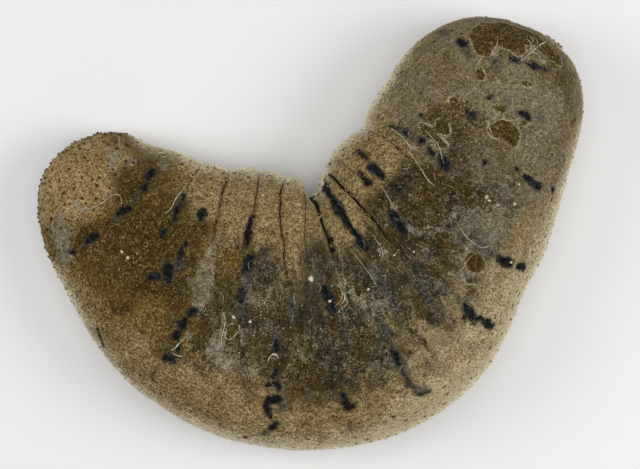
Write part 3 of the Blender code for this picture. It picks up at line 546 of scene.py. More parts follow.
def natural_spline(knots, values):
    """The natural cubic spline through values at knots, as a function of a place or an array of places."""
    knots = np.asarray(knots, float)
    values = np.asarray(values, float)
    step = np.diff(knots)
    slope = np.diff(values) / step
    count = len(knots)
    system = np.eye(count)
    right = np.zeros(count)
    for i in range(1, count - 1):
        system[i, i - 1 : i + 2] = step[i - 1], 2 * (step[i - 1] + step[i]), step[i]
        right[i] = 6 * (slope[i] - slope[i - 1])
    bend = np.linalg.solve(system, right)

    def at(place):
        place = np.asarray(place, float)
        i = np.clip(np.searchsorted(knots, place) - 1, 0, count - 2)
        before = place - knots[i]
        after = knots[i + 1] - place
        cubic = (bend[i] * after**3 + bend[i + 1] * before**3) / (6 * step[i])
        first = (values[i] / step[i] - bend[i] * step[i] / 6) * after
        last = (values[i + 1] / step[i] - bend[i + 1] * step[i] / 6) * before
        return cubic + first + last

    return at


def smooth_step(low, high, value):
    """0 up to low, 1 from high on, and a smooth rise between them. It falls where high is below low."""
    share = np.clip((value - low) / (high - low), 0.0, 1.0)
    return share * share * (3 - 2 * share)


def distances_along(path):
    """How far along a path each of its points is."""
    steps = np.linalg.norm(np.diff(path, axis=0), axis=1)
    return np.concatenate([[0.0], np.cumsum(steps)])


KNOTS = distances_along([(section.x, section.y) for section in SECTIONS])
BODY_LENGTH = float(KNOTS[-1])
SPLINES = {name: natural_spline(KNOTS, row) for name, row in zip(Section._fields, zip(*SECTIONS))}

Opening = namedtuple("Opening", "along angle radius sunk")
MOUTH = Opening(2.8, -90, 5.2, 2.5)
VENT = Opening(BODY_LENGTH - 1.9, 27, 3.8, 2.1)


def rounding(along):
    """The share of its full size that a section has: 1 in the trunk, falling to 0 at both tips."""
    from_mouth = np.clip(1 - along / MOUTH_ROUNDING, 0.0, 1.0)
    from_vent = np.clip(1 - (BODY_LENGTH - along) / VENT_ROUNDING, 0.0, 1.0)
    mouth_end = (1 - from_mouth**MOUTH_BLUNTNESS) ** (1 / MOUTH_BLUNTNESS)
    vent_end = (1 - from_vent**VENT_BLUNTNESS) ** (1 / VENT_BLUNTNESS)
    return mouth_end * vent_end


def plain_skin(along, angle):
    """The place of the smooth skin, without folds, this far along the body and at this angle round it."""
    theta = np.radians(angle)
    full = rounding(along)
    half = 0.5 * SPLINES["width"](along)
    height = SPLINES["height"](along)
    level = WIDEST_LEVEL * height
    power = 2 / SIDE_FULLNESS
    lateral = full * half * np.sign(np.cos(theta)) * np.abs(np.cos(theta)) ** power
    rise = np.abs(np.sin(theta)) ** power
    above = full * (height - level) * rise
    flatness = 1 + (SOLE_FLATNESS - 1) * full**2
    below = -full * level * flatness * rise
    z = np.maximum(level + np.where(np.sin(theta) >= 0, above, below), SOLE_LIFT)
    bearing = np.radians(SPLINES["bearing"](along))
    x = SPLINES["x"](along) + lateral * np.cos(bearing)
    y = SPLINES["y"](along) + lateral * np.sin(bearing)
    return np.stack(np.broadcast_arrays(x, y, z), axis=-1)


def unit(vectors):
    length = np.linalg.norm(vectors, axis=-1, keepdims=True)
    return vectors / np.maximum(length, 1e-9)


def skin_frame(along, angle):
    """Three unit vectors at each place: towards the vent, round the body, and straight out."""
    near = np.clip(along, PROBE_FROM_TIP, BODY_LENGTH - PROBE_FROM_TIP)
    forward = unit(plain_skin(near + PROBE_ALONG, angle) - plain_skin(near - PROBE_ALONG, angle))
    around = unit(plain_skin(near, angle + PROBE_ROUND) - plain_skin(near, angle - PROBE_ROUND))
    out = unit(np.cross(forward, around))
    return forward, np.cross(out, forward), out


def hashed(cells, seed):
    """A number from -1 to 1 for each cell of a lattice, the same on every run."""
    mixed = cells[..., 0] * 374761393 + cells[..., 1] * 668265263 + cells[..., 2] * 1274126177
    mixed = (mixed + seed * 2654435761) & 0xFFFFFFFF
    mixed = ((mixed ^ (mixed >> 13)) * 1103515245) & 0xFFFFFFFF
    mixed = ((mixed ^ (mixed >> 16)) * 2246822519) & 0xFFFFFFFF
    return (mixed ^ (mixed >> 15)) / 0x7FFFFFFF - 1.0


def noise(points, size, seed):
    """Smooth noise from -1 to 1 at each point, with bumps about this size across."""
    place = points / size + 0.37 * seed
    cell = np.floor(place).astype(np.int64)
    part = place - cell
    part = part * part * (3 - 2 * part)
    total = 0.0
    for corner in itertools.product((0, 1), repeat=3):
        weight = np.prod(np.where(np.array(corner) == 1, part, 1 - part), axis=-1)
        total = total + weight * hashed(cell + np.array(corner), seed)
    return total


def shaken(points, size, reach, seed):
    """The points, each moved by up to about reach, to roughen the edges of a field."""
    return points + reach * np.stack([noise(points, size, seed + i) for i in range(3)], axis=-1)


def summed_noise(table, points):
    return sum(reach * noise(points, size, seed) for reach, size, seed in table)


def dabs(strokes):
    """The strokes as round dabs: how far along the body each is, its place, and its radius."""
    rows = []
    for stroke in strokes:
        if len(stroke) == 1:
            stroke = (stroke[0], stroke[0])
        for start, end in zip(stroke, stroke[1:]):
            here = plain_skin(np.array([start[0], end[0]]), np.array([start[1], end[1]]))
            count = max(2, math.ceil(np.linalg.norm(here[1] - here[0]) / DAB_STEP) + 1)
            for share in np.linspace(0, 1, count):
                rows.append([a + (b - a) * share for a, b in zip(start, end)])
    along, angle, width = np.array(rows).T
    return along, plain_skin(along, angle), width / 2


def inside(strokes, along, points):
    """How far inside the strokes' outline each point is, in millimetres, and below 0 outside it."""
    depth = np.full(len(points), -DEPTH_LIMIT)
    for middle, place, radius in zip(*dabs(strokes)):
        near = np.nonzero(np.abs(along - middle) < DAB_REACH)[0]
        away = radius - np.linalg.norm(points[near] - place, axis=-1)
        depth[near] = np.maximum(depth[near], away)
    return depth


def blotched(table, along, points):
    """How strongly the soft blotches of a table cover each point, from 0 to 1."""
    clear = np.ones(len(points))
    middles, angles, radii, strengths = np.array(table).T
    places = plain_skin(middles, angles)
    for middle, place, radius, strength in zip(middles, places, radii, strengths):
        near = np.nonzero(np.abs(along - middle) < DAB_REACH)[0]
        away = np.linalg.norm(points[near] - place, axis=-1)
        clear[near] *= 1 - strength * np.exp(-((away / radius) ** 2))
    return 1 - clear


def border(table, along):
    places, angles = zip(*table)
    return np.interp(along, places, angles)


def plateau(stretch, value):
    """A smooth rise from 0 to 1 over a stretch's first two numbers, and a fall over its last two."""
    start, full, fade, end = stretch
    return smooth_step(start, full, value) * smooth_step(end, fade, value)


def stretch_of(along, angle):
    """How much longer the skin is there than the body's centre line, along the body."""
    near = np.clip(along, 1.0, BODY_LENGTH - 1.0)
    turn = 0.5 * np.radians(SPLINES["bearing"](near + 1) - SPLINES["bearing"](near - 1))
    theta = np.radians(angle)
    lateral = rounding(along) * 0.5 * SPLINES["width"](along) * np.cos(theta)
    return 1 + lateral * turn


def fold_fields(along, angle, points):
    """How deep the folds are at each place, and how far it is inside the slit of a fold, where shade is
    painted.
    """
    stretch = stretch_of(along, angle)
    wander = summed_noise(CREASE_WANDER, points)
    under = smooth_step(-CREASE_FOOT, -0.3 * CREASE_FOOT, np.sin(np.radians(angle)))
    depth = np.zeros(len(along))
    slit = np.full(len(along), -DEPTH_LIMIT)
    for crease in CREASES:
        places, angles = zip(*reversed(crease.path))
        start = angles[0]
        over = smooth_step(start - CREASE_FADE, start + CREASE_FADE, angle) * under
        away = (along - np.interp(angle, angles, places)) * stretch + wander
        line = CREASE_SHARPNESS * np.exp(-((away / CREASE_CUT) ** 2))
        valley = (1 - CREASE_SHARPNESS) * np.exp(-((away / CREASE_VALLEY) ** 2))
        depth += crease.depth * over * (line + valley)
        taper = 0.5 * crease.line * over * smooth_step(*SLIT_TAPER, angle)
        slit = np.maximum(slit, np.where(over > 0.02, taper - np.abs(away), -DEPTH_LIMIT))
    return depth, slit


def film_depth(along, angle, coarse):
    """How far inside the grey film's outline each place is. The film lies on the arm that ends in the vent,
    and on a band of the outer flank beside it."""
    shifted = angle + coarse
    arm = smooth_step(*FILM_ALONG, along + 0.4 * coarse) * smooth_step(*FILM_ROUND, shifted)
    arm = FILM_SLOPE * arm * smooth_step(*FILM_FADE, angle) - FILM_EDGE
    band = smooth_step(*FILM_BAND_ALONG, along + 0.3 * coarse) * plateau(FILM_BAND_ROUND, shifted)
    return np.maximum(arm, FILM_BAND_SLOPE * band - FILM_BAND_EDGE)


def painted_glow_share(along, facing):
    """How much painted glow each place takes as a part of the outline, where the skin turns away, and less at
    the tips.
    """
    tip = smooth_step(*MOUTH_TIP, along) + 0.5 * smooth_step(*VENT_TIP, BODY_LENGTH - along)
    return smooth_step(EDGE_FACING - TIP_FACING * tip, -TIP_FACING * tip, facing) ** EDGE_POWER


def markings(along, angle):
    """The fields that colour the skin at these places, by name. Ink, stain, peel, scrap, film and slit are
    depths inside an outline in millimetres. Along, side and up are a place on a round body for streaks to
    be drawn on. The others are shares from 0 to 1."""
    points = plain_skin(along, angle)
    rough = shaken(points, *ROUGH_INK)
    loose = shaken(points, *ROUGH_BLOTCH)
    coarse = summed_noise(COARSE, points)
    shifted = angle + coarse
    inner = border(INNER_TAN, along + summed_noise(INNER_WANDER, points))
    soft = INNER_SOFTNESS + MOUTH_SOFTNESS * smooth_step(*MOUTH_ALONG, along)
    outer = border(OUTER_TAN, along)
    outer_tan = smooth_step(outer + OUTER_SOFTNESS, outer - OUTER_SOFTNESS, shifted)
    rim = border(PALE_RIM, along)
    facing = skin_frame(along, angle)[2][..., 2]
    fields = {
        "ink": inside(INK, along, rough),
        "stain": inside(STAINS, along, rough),
        "peel": inside(PEELED, along, shaken(points, *ROUGH_PEEL)),
        "scrap": inside(SCRAPS, along, shaken(points, *ROUGH_SCRAP)),
        "film": film_depth(along, angle, coarse),
        "slit": fold_fields(along, angle, points)[1],
        "inner": smooth_step(inner - soft, inner + soft - 2, shifted),
        "outer": outer_tan,
        "even": outer_tan * smooth_step(*EVEN_ALONG, along + coarse),
        "pale": smooth_step(rim + RIM_SOFTNESS, rim - RIM_SOFTNESS, shifted),
        "centre": plateau(CENTRE_ALONG, along + coarse),
        "back": plateau(BACK_ROUND, shifted),
        "oral": smooth_step(*ORAL_ALONG, along + 0.6 * coarse),
        # the outline's painted glow, a brightening that stands in for light through the skin
        "sole": smooth_step(*SOLE_FACING, facing),
        "edge": painted_glow_share(along, facing),
        "brown": blotched(DEEP_BROWN, along, loose),
        "veil": blotched(GREY_VEIL, along, loose),
        "haze": blotched(DARK_HAZE, along, loose),
    }
    for name in fields:
        fields[name] = np.clip(fields[name], -DEPTH_LIMIT, DEPTH_LIMIT)
    theta = np.radians(angle)
    fields["along"] = along
    fields["side"] = HALF_GIRTH * np.cos(theta)
    fields["up"] = HALF_GIRTH * np.sin(theta)
    return fields


def from_opening(opening, points):
    """How far each point is from an opening's middle."""
    middle = plain_skin(np.array([opening.along]), np.array([opening.angle]))
    return np.linalg.norm(points - middle, axis=-1)


def skin_surface(along, angle, lift=0.0):
    """The finished surface of the skin, with its folds, openings and fine unevenness."""
    points = plain_skin(along, angle)
    out = skin_frame(along, angle)[2]
    depth = fold_fields(along, angle, points)[0]
    fine = summed_noise(UNEVENNESS, points)
    calm = 1 - CALM_SOLE * smooth_step(*SOLE_FACING, np.sin(np.radians(angle)))
    for opening in (MOUTH, VENT):
        lips = smooth_step(opening.radius + 0.3, opening.radius - 0.5, from_opening(opening, points))
        depth += opening.sunk * lips
    return points + out * (fine * calm - depth + lift)[:, None]


def arithmetic(operation):
    """A method of a wave that adds a math node."""
    def method(self, other=0.0):
        return self.finish.math(operation, self, other)

    return method


class Wave:
    """A node's output, which is a value or a colour that varies over a surface, with arithmetic."""

    def __init__(self, finish, output):
        self.finish = finish
        self.output = output

    __add__ = arithmetic("ADD")
    __sub__ = arithmetic("SUBTRACT")
    __mul__ = arithmetic("MULTIPLY")
    __truediv__ = arithmetic("DIVIDE")
    __pow__ = arithmetic("POWER")
    __abs__ = arithmetic("ABSOLUTE")
    higher = arithmetic("MAXIMUM")

    def __rsub__(self, other):
        return self.finish.math("SUBTRACT", other, self)

    def step(self, low, high, least=0.0, most=1.0):
        """A smooth change from least to most as this goes from low to high."""
        sockets = {"Value": self, "From Min": low, "From Max": high, "To Min": least, "To Max": most}
        return self.finish.wave("ShaderNodeMapRange", "Result", sockets, interpolation_type="SMOOTHSTEP")


class Finish:
    """A procedural material. Its methods add nodes and return waves."""

    def __init__(self, name):
        self.material = bpy.data.materials.new(name)
        self.material.use_nodes = True
        self.tree = self.material.node_tree
        self.shader = self.tree.nodes["Principled BSDF"]
        self.place = self.wave("ShaderNodeTexCoord", "Object")

    def put(self, value, socket):
        """Links a wave into a socket, or sets the socket to a plain value."""
        if isinstance(value, Wave):
            self.tree.links.new(value.output, socket)
        else:
            socket.default_value = value

    def node(self, kind, sockets=None, **settings):
        """Adds a node, with what goes into its sockets by their names or numbers."""
        made = self.tree.nodes.new(kind)
        for key, value in settings.items():
            setattr(made, key, value)
        for key, value in (sockets or {}).items():
            self.put(value, made.inputs[key])
        return made

    def wave(self, kind, output, sockets=None, **settings):
        """Adds a node and returns one of its outputs."""
        return Wave(self, self.node(kind, sockets, **settings).outputs[output])

    def set(self, **values):
        """Sets or links the shader's own sockets, named with underscores for spaces."""
        for name, value in values.items():
            self.put(value, self.shader.inputs[name.replace("_", " ")])

    def field(self, name):
        return self.wave("ShaderNodeAttribute", "Fac", attribute_name=name)

    def math(self, operation, first, second=0.0):
        return self.wave("ShaderNodeMath", 0, {0: first, 1: second}, operation=operation)

    def mix(self, share, first, second, blend="MIX"):
        sockets = {0: share, 6: first, 7: second}
        return self.wave("ShaderNodeMix", 2, sockets, data_type="RGBA", blend_type=blend)

    def layered(self, colour, *layers):
        """The colour with others laid over it in turn. A layer is its share of cover and its colour."""
        for share, over in layers:
            colour = self.mix(share, colour, over)
        return colour

    def noise_at(self, place, scale, detail, roughness, seed, distortion):
        """Noise from 0 to 1 over a place, which may be stretched."""
        sockets = {"Vector": place, "W": seed, "Scale": scale, "Detail": detail}
        sockets.update(Roughness=roughness, Distortion=distortion)
        return self.wave("ShaderNodeTexNoise", "Fac", sockets, noise_dimensions="4D")

    def noise(self, size, detail, roughness, seed=0, distortion=0.0):
        """Noise from 0 to 1, with bumps about this many millimetres across."""
        return self.noise_at(self.place, 1 / (size * MM), detail, roughness, seed, distortion)

    def streaks(self, across, length, detail, roughness, seed):
        """Noise from 0 to 1, drawn out round the body."""
        sizes = {"along": across, "side": length, "up": length}
        sockets = {i: self.field(name) / size for i, (name, size) in enumerate(sizes.items())}
        place = self.wave("ShaderNodeCombineXYZ", 0, sockets)
        return self.noise_at(place, 1.0, detail, roughness, seed, 0.4)

    def lines(self, size, width, seed):
        """1 on thin wandering lines and 0 off them. Width is a share of the noise's range."""
        return abs(self.noise(size, 2.0, 0.5, seed, 0.8) - 0.5).step(width, 0.2 * width)

    def cells(self, size):
        """Cells about this many millimetres across: how far from the cell's middle, in cells, and a
        number from 0 to 1 that is the cell's own."""
        made = self.node("ShaderNodeTexVoronoi", {"Vector": self.place, "Scale": 1 / (size * MM)})
        away, colour = (Wave(self, made.outputs[name]) for name in ("Distance", "Color"))
        return away, self.wave("ShaderNodeSeparateColor", 0, {0: colour})

    def shaded(self, colour, share, powers):
        """The colour times a share, which may be above 1, raised to a power of its own in each channel."""
        channels = {i: share**power for i, power in enumerate(powers)}
        return self.mix(1.0, colour, self.wave("ShaderNodeCombineColor", 0, channels), "MULTIPLY")

    def bump(self, height, distance, strength):
        sockets = {"Strength": strength, "Distance": distance * MM, "Height": height}
        self.set(Normal=self.wave("ShaderNodeBump", "Normal", sockets))


class SkinFinish(Finish):
    """The skin's material: ground with the outline's painted glow, centre, film, a shade for each grain,
    pits, tube feet, the painted shade of the folds' slits, and ink.
    """

    def __init__(self):
        super().__init__("cucumber_skin")
        self.away, self.own = self.cells(GRAIN)
        self.jitter = self.own - 0.5
        self.speck = self.noise(*SPECK)
        self.centre = (self.field("centre") * self.field("back")).step(0.05, 0.95)
        self.off_centre = 1.0 - self.centre * 0.6
        self.bare = self.broken("peel").step(-0.08, 0.08)
        thick = self.streaks(*FILM_STREAKS).step(0.36, 0.60, 0.3, 0.92)
        film = self.broken("film").step(-0.3, 0.3) * thick * self.field("brown").step(0.1, 0.8, 1.0, 0.35)
        self.film = film * (1.0 - self.bare)
        self.veil = self.broken("veil").step(0.3, 0.62, most=0.7) * (1.0 - self.bare)
        colour = self.scraps_over(self.film_over(self.over_centre(self.ground())))
        colour = self.pitted(self.shaded(colour, self.grain_shade(), GRAIN_HUES))
        colour = self.inked(self.feet_over(colour))
        self.bump(self.speck - self.away.step(0.15, 0.6, most=0.6), 0.3, 0.8)
        roughness = self.speck.step(0.3, 0.7, 0.5, 0.75)
        self.set(Base_Color=colour, Roughness=roughness, Specular_IOR_Level=0.06)

    def broken(self, name):
        """A field with its edges broken up by noise, and a grain at a time."""
        size, reach, seed, grain, *detail = RAGGED[name]
        wave = self.noise(size, *(detail or [4.0]), 0.75, seed) - 0.5
        return self.field(name) + wave * (2 * reach) + self.jitter * (2 * grain)

    def ground(self):
        """The bare skin: brown on the back, tan on the flanks and mouth end, paler on the outer flank and the
        sole, with a painted glow along the outline.
        """
        tan = self.layered(
            self.mix(self.field("oral") * 0.8, TAN, ORAL_TAN),
            (self.noise(*TAN_PATCHES).step(0.46, 0.70, most=0.5), BROWN),
            (self.field("even") * 0.4, EVEN_TAN),
        )
        flanks = self.broken("inner").step(0.05, 0.95).higher(self.broken("outer").step(0.05, 0.95))
        return self.layered(
            self.mix(self.broken("centre").step(0.1, 0.9), BROWN, UMBER),
            (flanks, tan),
            (self.broken("pale").step(0.1, 0.95), PALE),
            (self.broken("brown").step(0.15, 0.75, most=0.85), DEEP),
            # painted glow where the skin turns away at the outline, standing in for light through the skin
            (self.field("edge") * 0.9, EDGE_GLOW_PAINT),
            (self.field("sole"), SOLE_PALE),
        )

    def over_centre(self, colour):
        """Brown streaks, dark haze and thin pale veils over the middle of the back."""
        brown = self.streaks(*BROWN_STREAKS).step(0.48, 0.56) * self.centre
        haze = self.streaks(*HAZE_STREAKS).step(0.46, 0.57) * self.centre
        veil = self.streaks(*VEIL_STREAKS).step(0.52, 0.62) * self.noise(*VEIL_PATCHES).step(0.42, 0.58, 0.15)
        veil = veil * self.own.step(0.1, 0.9, 0.8) * self.centre
        coarse, fine = (self.lines(*line) for line in WEB_LINES)
        web = coarse.higher(fine) * self.centre * self.noise(*WEB_PATCHES).step(0.42, 0.62, most=0.5)
        return self.layered(
            colour, (brown * 0.85, DEEP), (haze * 0.8, HAZE), (veil * 0.6, CENTRE_VEIL), (web, WEB_PALE))

    def film_over(self, colour):
        """The grey film and its thin veils, the fibres in them, and dark haze."""
        tone = (self.speck + self.jitter * 0.2).step(0.25, 0.75)
        light = self.mix(self.noise(*MAUVE_PATCHES).step(0.42, 0.58), FILM_LIGHT, FILM_MAUVE)
        fine, coarse = (self.lines(*line) for line in FIBRE_LINES)
        return self.layered(
            colour,
            (self.film, self.mix(tone, FILM_DARK, light)),
            (self.veil, self.mix(tone, VEIL, VEIL_LIGHT)),
            (fine.higher(coarse) * self.film.higher(self.veil) * 0.5, WEB_PALE),
            (self.broken("haze").step(0.22, 0.7, most=0.85), HAZE),
        )

    def scraps_over(self, colour):
        """Thick scraps of film with curled edges, and the bare patches with a pale line round them."""
        scrap = self.broken("scrap")
        shreds = self.noise(*SHREDS).step(0.40, 0.60)
        whole = scrap.step(-0.35, 0.45) * (shreds * 0.45 + 0.4) * (1.0 - self.field("haze") * 0.6)
        curl = abs(scrap + 0.02).step(0.16, 0.03, most=0.7) * shreds
        skin = self.mix(self.own.step(0.0, 1.0), BARE_DARK, BARE_LIGHT)
        rim = abs(self.field("peel") + 0.15).step(0.40, 0.10)
        return self.layered(
            colour,
            (whole, self.mix(shreds, SCRAP_DARK, SCRAP_LIGHT)),
            (curl, SCRAP_LIGHT),
            (self.bare, self.mix(self.field("brown") * 0.8, skin, DEEP)),
            (rim * self.noise(*PEEL_RIM).step(0.43, 0.55, most=0.65), WEB_PALE),
        )

    def grain_shade(self):
        """How bright each place is against its colour: a grain at a time, and less so under the film, on the
        pale flank and in the outline's painted glow."""
        shade = self.own.step(0.0, 1.0, 0.56, 1.52) * self.field("tone").step(0.0, 1.0, 0.72, 1.28)
        shade = shade * self.speck.step(0.26, 0.74, 0.80, 1.22)
        shade = shade * self.noise(*SHADE_PATCHES).step(0.3, 0.7, 0.84, 1.16)
        shade = shade * self.away.step(0.30, 0.62, 1.06, 0.84)
        scrap = self.field("scrap").step(-0.2, 0.2)
        cover = self.film.higher(self.veil).higher(scrap.higher(self.bare * 0.7))
        # the pale flank and the outline's painted glow
        rim = self.field("pale").higher(self.field("edge")) * 0.65
        calm = (cover * 0.85).higher(rim.higher(self.field("even") * 0.5)).higher(self.centre * 0.3)
        return shade * (1.0 - calm) + calm

    def pitted(self, colour):
        """Pale curls on the brown skin, a few glints, and fine dark pores, some with a pale ring."""
        tan = self.field("inner").higher(self.field("outer"))
        on_brown = (1.0 - tan).higher(self.field("brown"))
        curls = self.lines(*CURL_LINES) * self.own.step(0.1, 0.7, most=0.65)
        curls = curls * on_brown.step(0.2, 0.9) * self.off_centre
        away, own = self.cells(GLINT_CELL)
        glint = own.step(0.84, 0.92) * away.step(0.26, 0.14, most=0.7) * on_brown.step(0.0, 1.0, 0.3)
        away, own = self.cells(PIT_CELL)
        some = own.step(0.45, 0.55)
        ring = abs(away - PORE_RING).step(0.07, 0.02) * some
        pore = away.step(0.20, 0.12, most=0.75) * some
        return self.layered(
            colour, (curls, CURL_PALE), (glint, GLINT), (ring * 0.2, RIM_PALE), (pore, PIT_DARK))

    def feet_over(self, colour):
        """The tube feet's pale rims and dark tips."""
        rim = self.field("rim") * self.field("tone").step(0.0, 1.0, 0.05, 0.7) * self.off_centre
        # the dark tips fade in the outline's painted glow
        pit = self.field("pit") * self.field("edge").step(0.3, 0.9, 1.0, 0.45)
        return self.layered(colour, (rim, RIM_PALE), (pit, self.mix(self.field("oral"), PIT_DARK, MOUTH_DOT)))

    def inked(self, colour):
        """The folds' slits painted dark as shade, and the ink: a grey halo round a ragged black core with
        blue-grey flecks.
        """
        ink = self.broken("ink")
        fleck = self.noise(*INK_FLECKS).step(0.50, 0.63) * ink.step(1.6, 0.1)
        grey = self.mix(0.3, STAIN, FILM_MAUVE)
        return self.layered(
            colour,
            # painted shade in the folds' slits
            (self.broken("slit").step(-0.12, 0.12), PAINTED_SLIT_SHADE),
            (self.broken("stain").step(-0.6, 0.6, most=0.75), self.mix(self.own.step(0.0, 1.0), HAZE, grey)),
            (ink.step(-1.0, -0.1, most=0.6), INK_HALO),
            (ink.step(-0.28, 0.08, most=0.95), self.mix(fleck * 0.75, INK_BLACK, INK_FLECK)),
        )


def plain_finish(name, dark, light, size, roughness):
    """A two-tone mottled finish for the small parts."""
    finish = Finish(name)
    speck = finish.noise(size, 4.0, 0.7)
    finish.bump(speck, 0.2, 0.7)
    colour = finish.mix(speck.step(0.3, 0.7), dark, light)
    finish.set(Base_Color=colour, Roughness=roughness, Specular_IOR_Level=0.3)
    return finish.material


def mesh_object(name, points, faces, finish, fields=None, bake=None, smooth=True):
    """A mesh object from arrays. Faces is an array of corner numbers, one row a face."""
    faces = np.asarray(faces, np.int32)
    corners = faces.shape[1]
    mesh = bpy.data.meshes.new(name)
    mesh.vertices.add(len(points))
    mesh.vertices.foreach_set("co", (np.asarray(points) * MM).astype(np.float32).ravel())
    mesh.loops.add(faces.size)
    mesh.loops.foreach_set("vertex_index", faces.ravel())
    mesh.polygons.add(len(faces))
    mesh.polygons.foreach_set("loop_start", np.arange(0, faces.size, corners, dtype=np.int32))
    mesh.update(calc_edges=True)
    for field, values in (fields or {}).items():
        layer = mesh.attributes.new(field, "FLOAT", "POINT")
        layer.data.foreach_set("value", np.asarray(values, np.float32))
    if bake is not None:
        layer = mesh.uv_layers.new(name="OFBake")
        layer.uv.foreach_set("vector", np.asarray(bake, np.float32).ravel())
    mesh.polygons.foreach_set("use_smooth", np.full(len(faces), smooth))
    mesh.materials.append(finish)
    mesh.validate()
    made = bpy.data.objects.new(name, mesh)
    bpy.context.scene.collection.objects.link(made)
    return made


def ring_places():
    """How far along the body each ring of the skin stands, closer together in the rounded ends."""
    def round_end(rounding_length, count):
        return rounding_length * (1 - np.cos(np.linspace(FIRST_TURN, 0.5 * math.pi, count)))

    mouth = round_end(MOUTH_ROUNDING, MOUTH_RINGS)
    vent = BODY_LENGTH - round_end(VENT_ROUNDING, VENT_RINGS)[::-1]
    count = math.ceil((vent[0] - mouth[-1]) / RING_STEP)
    trunk = np.linspace(mouth[-1], vent[0], count)[1:-1]
    return np.concatenate([mouth, trunk, vent])


def column_angles():
    upper = np.linspace(LEFT_COLUMN, RIGHT_COLUMN, UPPER_COLUMNS, endpoint=False)
    lower = np.linspace(RIGHT_COLUMN, LEFT_COLUMN + 360, LOWER_COLUMNS, endpoint=False)
    return np.concatenate([upper, lower])


def skin_piece(finish):
    """The one fine skin over all the body's lengths."""
    rings = ring_places()
    angles = column_angles()
    along, angle = (grid.ravel() for grid in np.meshgrid(rings, angles, indexing="ij"))
    count = len(angles)
    rows = np.arange(len(rings) - 1)[:, None] * count
    first = np.arange(count)[None, :]
    after = (first + 1) % count
    quads = np.stack([rows + first, rows + after, rows + count + after, rows + count + first], axis=-1)
    fields = markings(along, angle)
    fields["rim"] = np.zeros(len(along))
    fields["pit"] = np.zeros(len(along))
    fields["tone"] = np.full(len(along), 0.5)
    share = np.append(np.arange(count) / count, 1.0)
    far = rings / BODY_LENGTH
    corners = np.zeros((len(rings) - 1, count, 4, 2))
    for corner, (onward, side) in enumerate(((0, 0), (0, 1), (1, 1), (1, 0))):
        corners[:, :, corner, 0] = far[onward : len(rings) - 1 + onward, None]
        corners[:, :, corner, 1] = share[None, side : count + side]
    return mesh_object("skin", skin_surface(along, angle), quads.reshape(-1, 4), finish, fields, corners)


def column_share(angle):
    """How far round the skin's unwrap an angle lies, from 0 to 1."""
    angles = np.append(column_angles(), LEFT_COLUMN + 360)
    turned = np.mod(angle - LEFT_COLUMN, 360) + LEFT_COLUMN
    return np.interp(turned, angles, np.linspace(0, 1, len(angles)))


def scattered(tries, seed, spacing, allowed):
    """Random (along, angle) places on the skin where it is allowed, no two nearer than the spacing, which
    is a number or a function of the distance along the body."""
    draw = np.random.default_rng(seed)
    along = draw.uniform(EDGE_OF_TIP, BODY_LENGTH - EDGE_OF_TIP, tries)
    angle = draw.uniform(0, 360, tries)
    keep = allowed(along, angle)
    along = along[keep]
    angle = angle[keep]
    gaps = spacing(along) if callable(spacing) else np.full(len(along), spacing)
    size = gaps.max()
    cells = {}
    chosen = []
    for i, (point, gap) in enumerate(zip(plain_skin(along, angle), gaps)):
        cell = np.floor(point / size).astype(int)
        near = []
        for shift in itertools.product((-1, 0, 1), repeat=3):
            near += cells.get(tuple(cell + shift), ())
        if all(math.dist(point, other) > gap for other in near):
            cells.setdefault(tuple(cell), []).append(tuple(point))
            chosen.append(i)
    return along[chosen], angle[chosen]


def tube_faces(levels, sides):
    """The triangles of a closed tube of rings, whose points are followed by its far and its near end. Also
    each corner's level and side on it. The far end is one level past the rings, and the disc that closes
    the near end has its rim at level -1 and its middle at level -2."""
    faces = []
    corners = []
    last = levels - 1
    far = levels * sides
    for i in range(sides):
        for k in range(last):
            for three in (((k, i), (k, i + 1), (k + 1, i + 1)), ((k, i), (k + 1, i + 1), (k + 1, i))):
                faces.append([level * sides + side % sides for level, side in three])
                corners.append(three)
        j = (i + 1) % sides
        faces += [(last * sides + i, last * sides + j, far), (j, i, far + 1)]
        corners += [((last, i), (last, i + 1), (levels, i)), ((-1, i + 1), (-1, i), (-2, i))]
    return np.array(faces), np.array(corners)


def patch_places(corners, levels, sides):
    """Where a tuft's corners lie on the tuft's own patch of the unwrap, whose middle is the tip. The sunk
    underside is a small disc in the patch's corner."""
    level, side = np.moveaxis(corners, -1, 0)
    under = level < 0
    reach = TUFT_PATCH * np.where(under, TUFT_UNDERSIDE * (level + 2), (levels - level) / levels)
    turn = 2 * math.pi * side / sides
    return np.stack([reach * np.cos(turn), reach * np.sin(turn)], axis=-1) + TUFT_PATCH * under[..., None]


def strip_places(corners, along, angle):
    """Where a thread's corners lie on the thread's own strip of the unwrap, which has pointed ends."""
    level, side = np.moveaxis(corners, -1, 0)
    middle = np.stack([along / BODY_LENGTH, column_share(angle)], axis=-1)
    onward = unit(np.gradient(middle, axis=0))
    across = THREAD_STRIP * np.stack([-onward[:, 1], onward[:, 0]], axis=-1)
    near_end = middle[:1] - THREAD_CAP * onward[:1]
    far_end = middle[-1:] + THREAD_CAP * onward[-1:]
    middle = np.concatenate([near_end, middle[:1], middle, far_end])
    across = np.concatenate([0 * near_end, across[:1], across, 0 * far_end])
    return middle[level + 2] + across[level + 2] * (side / THREAD_SIDES - 0.5)[..., None]


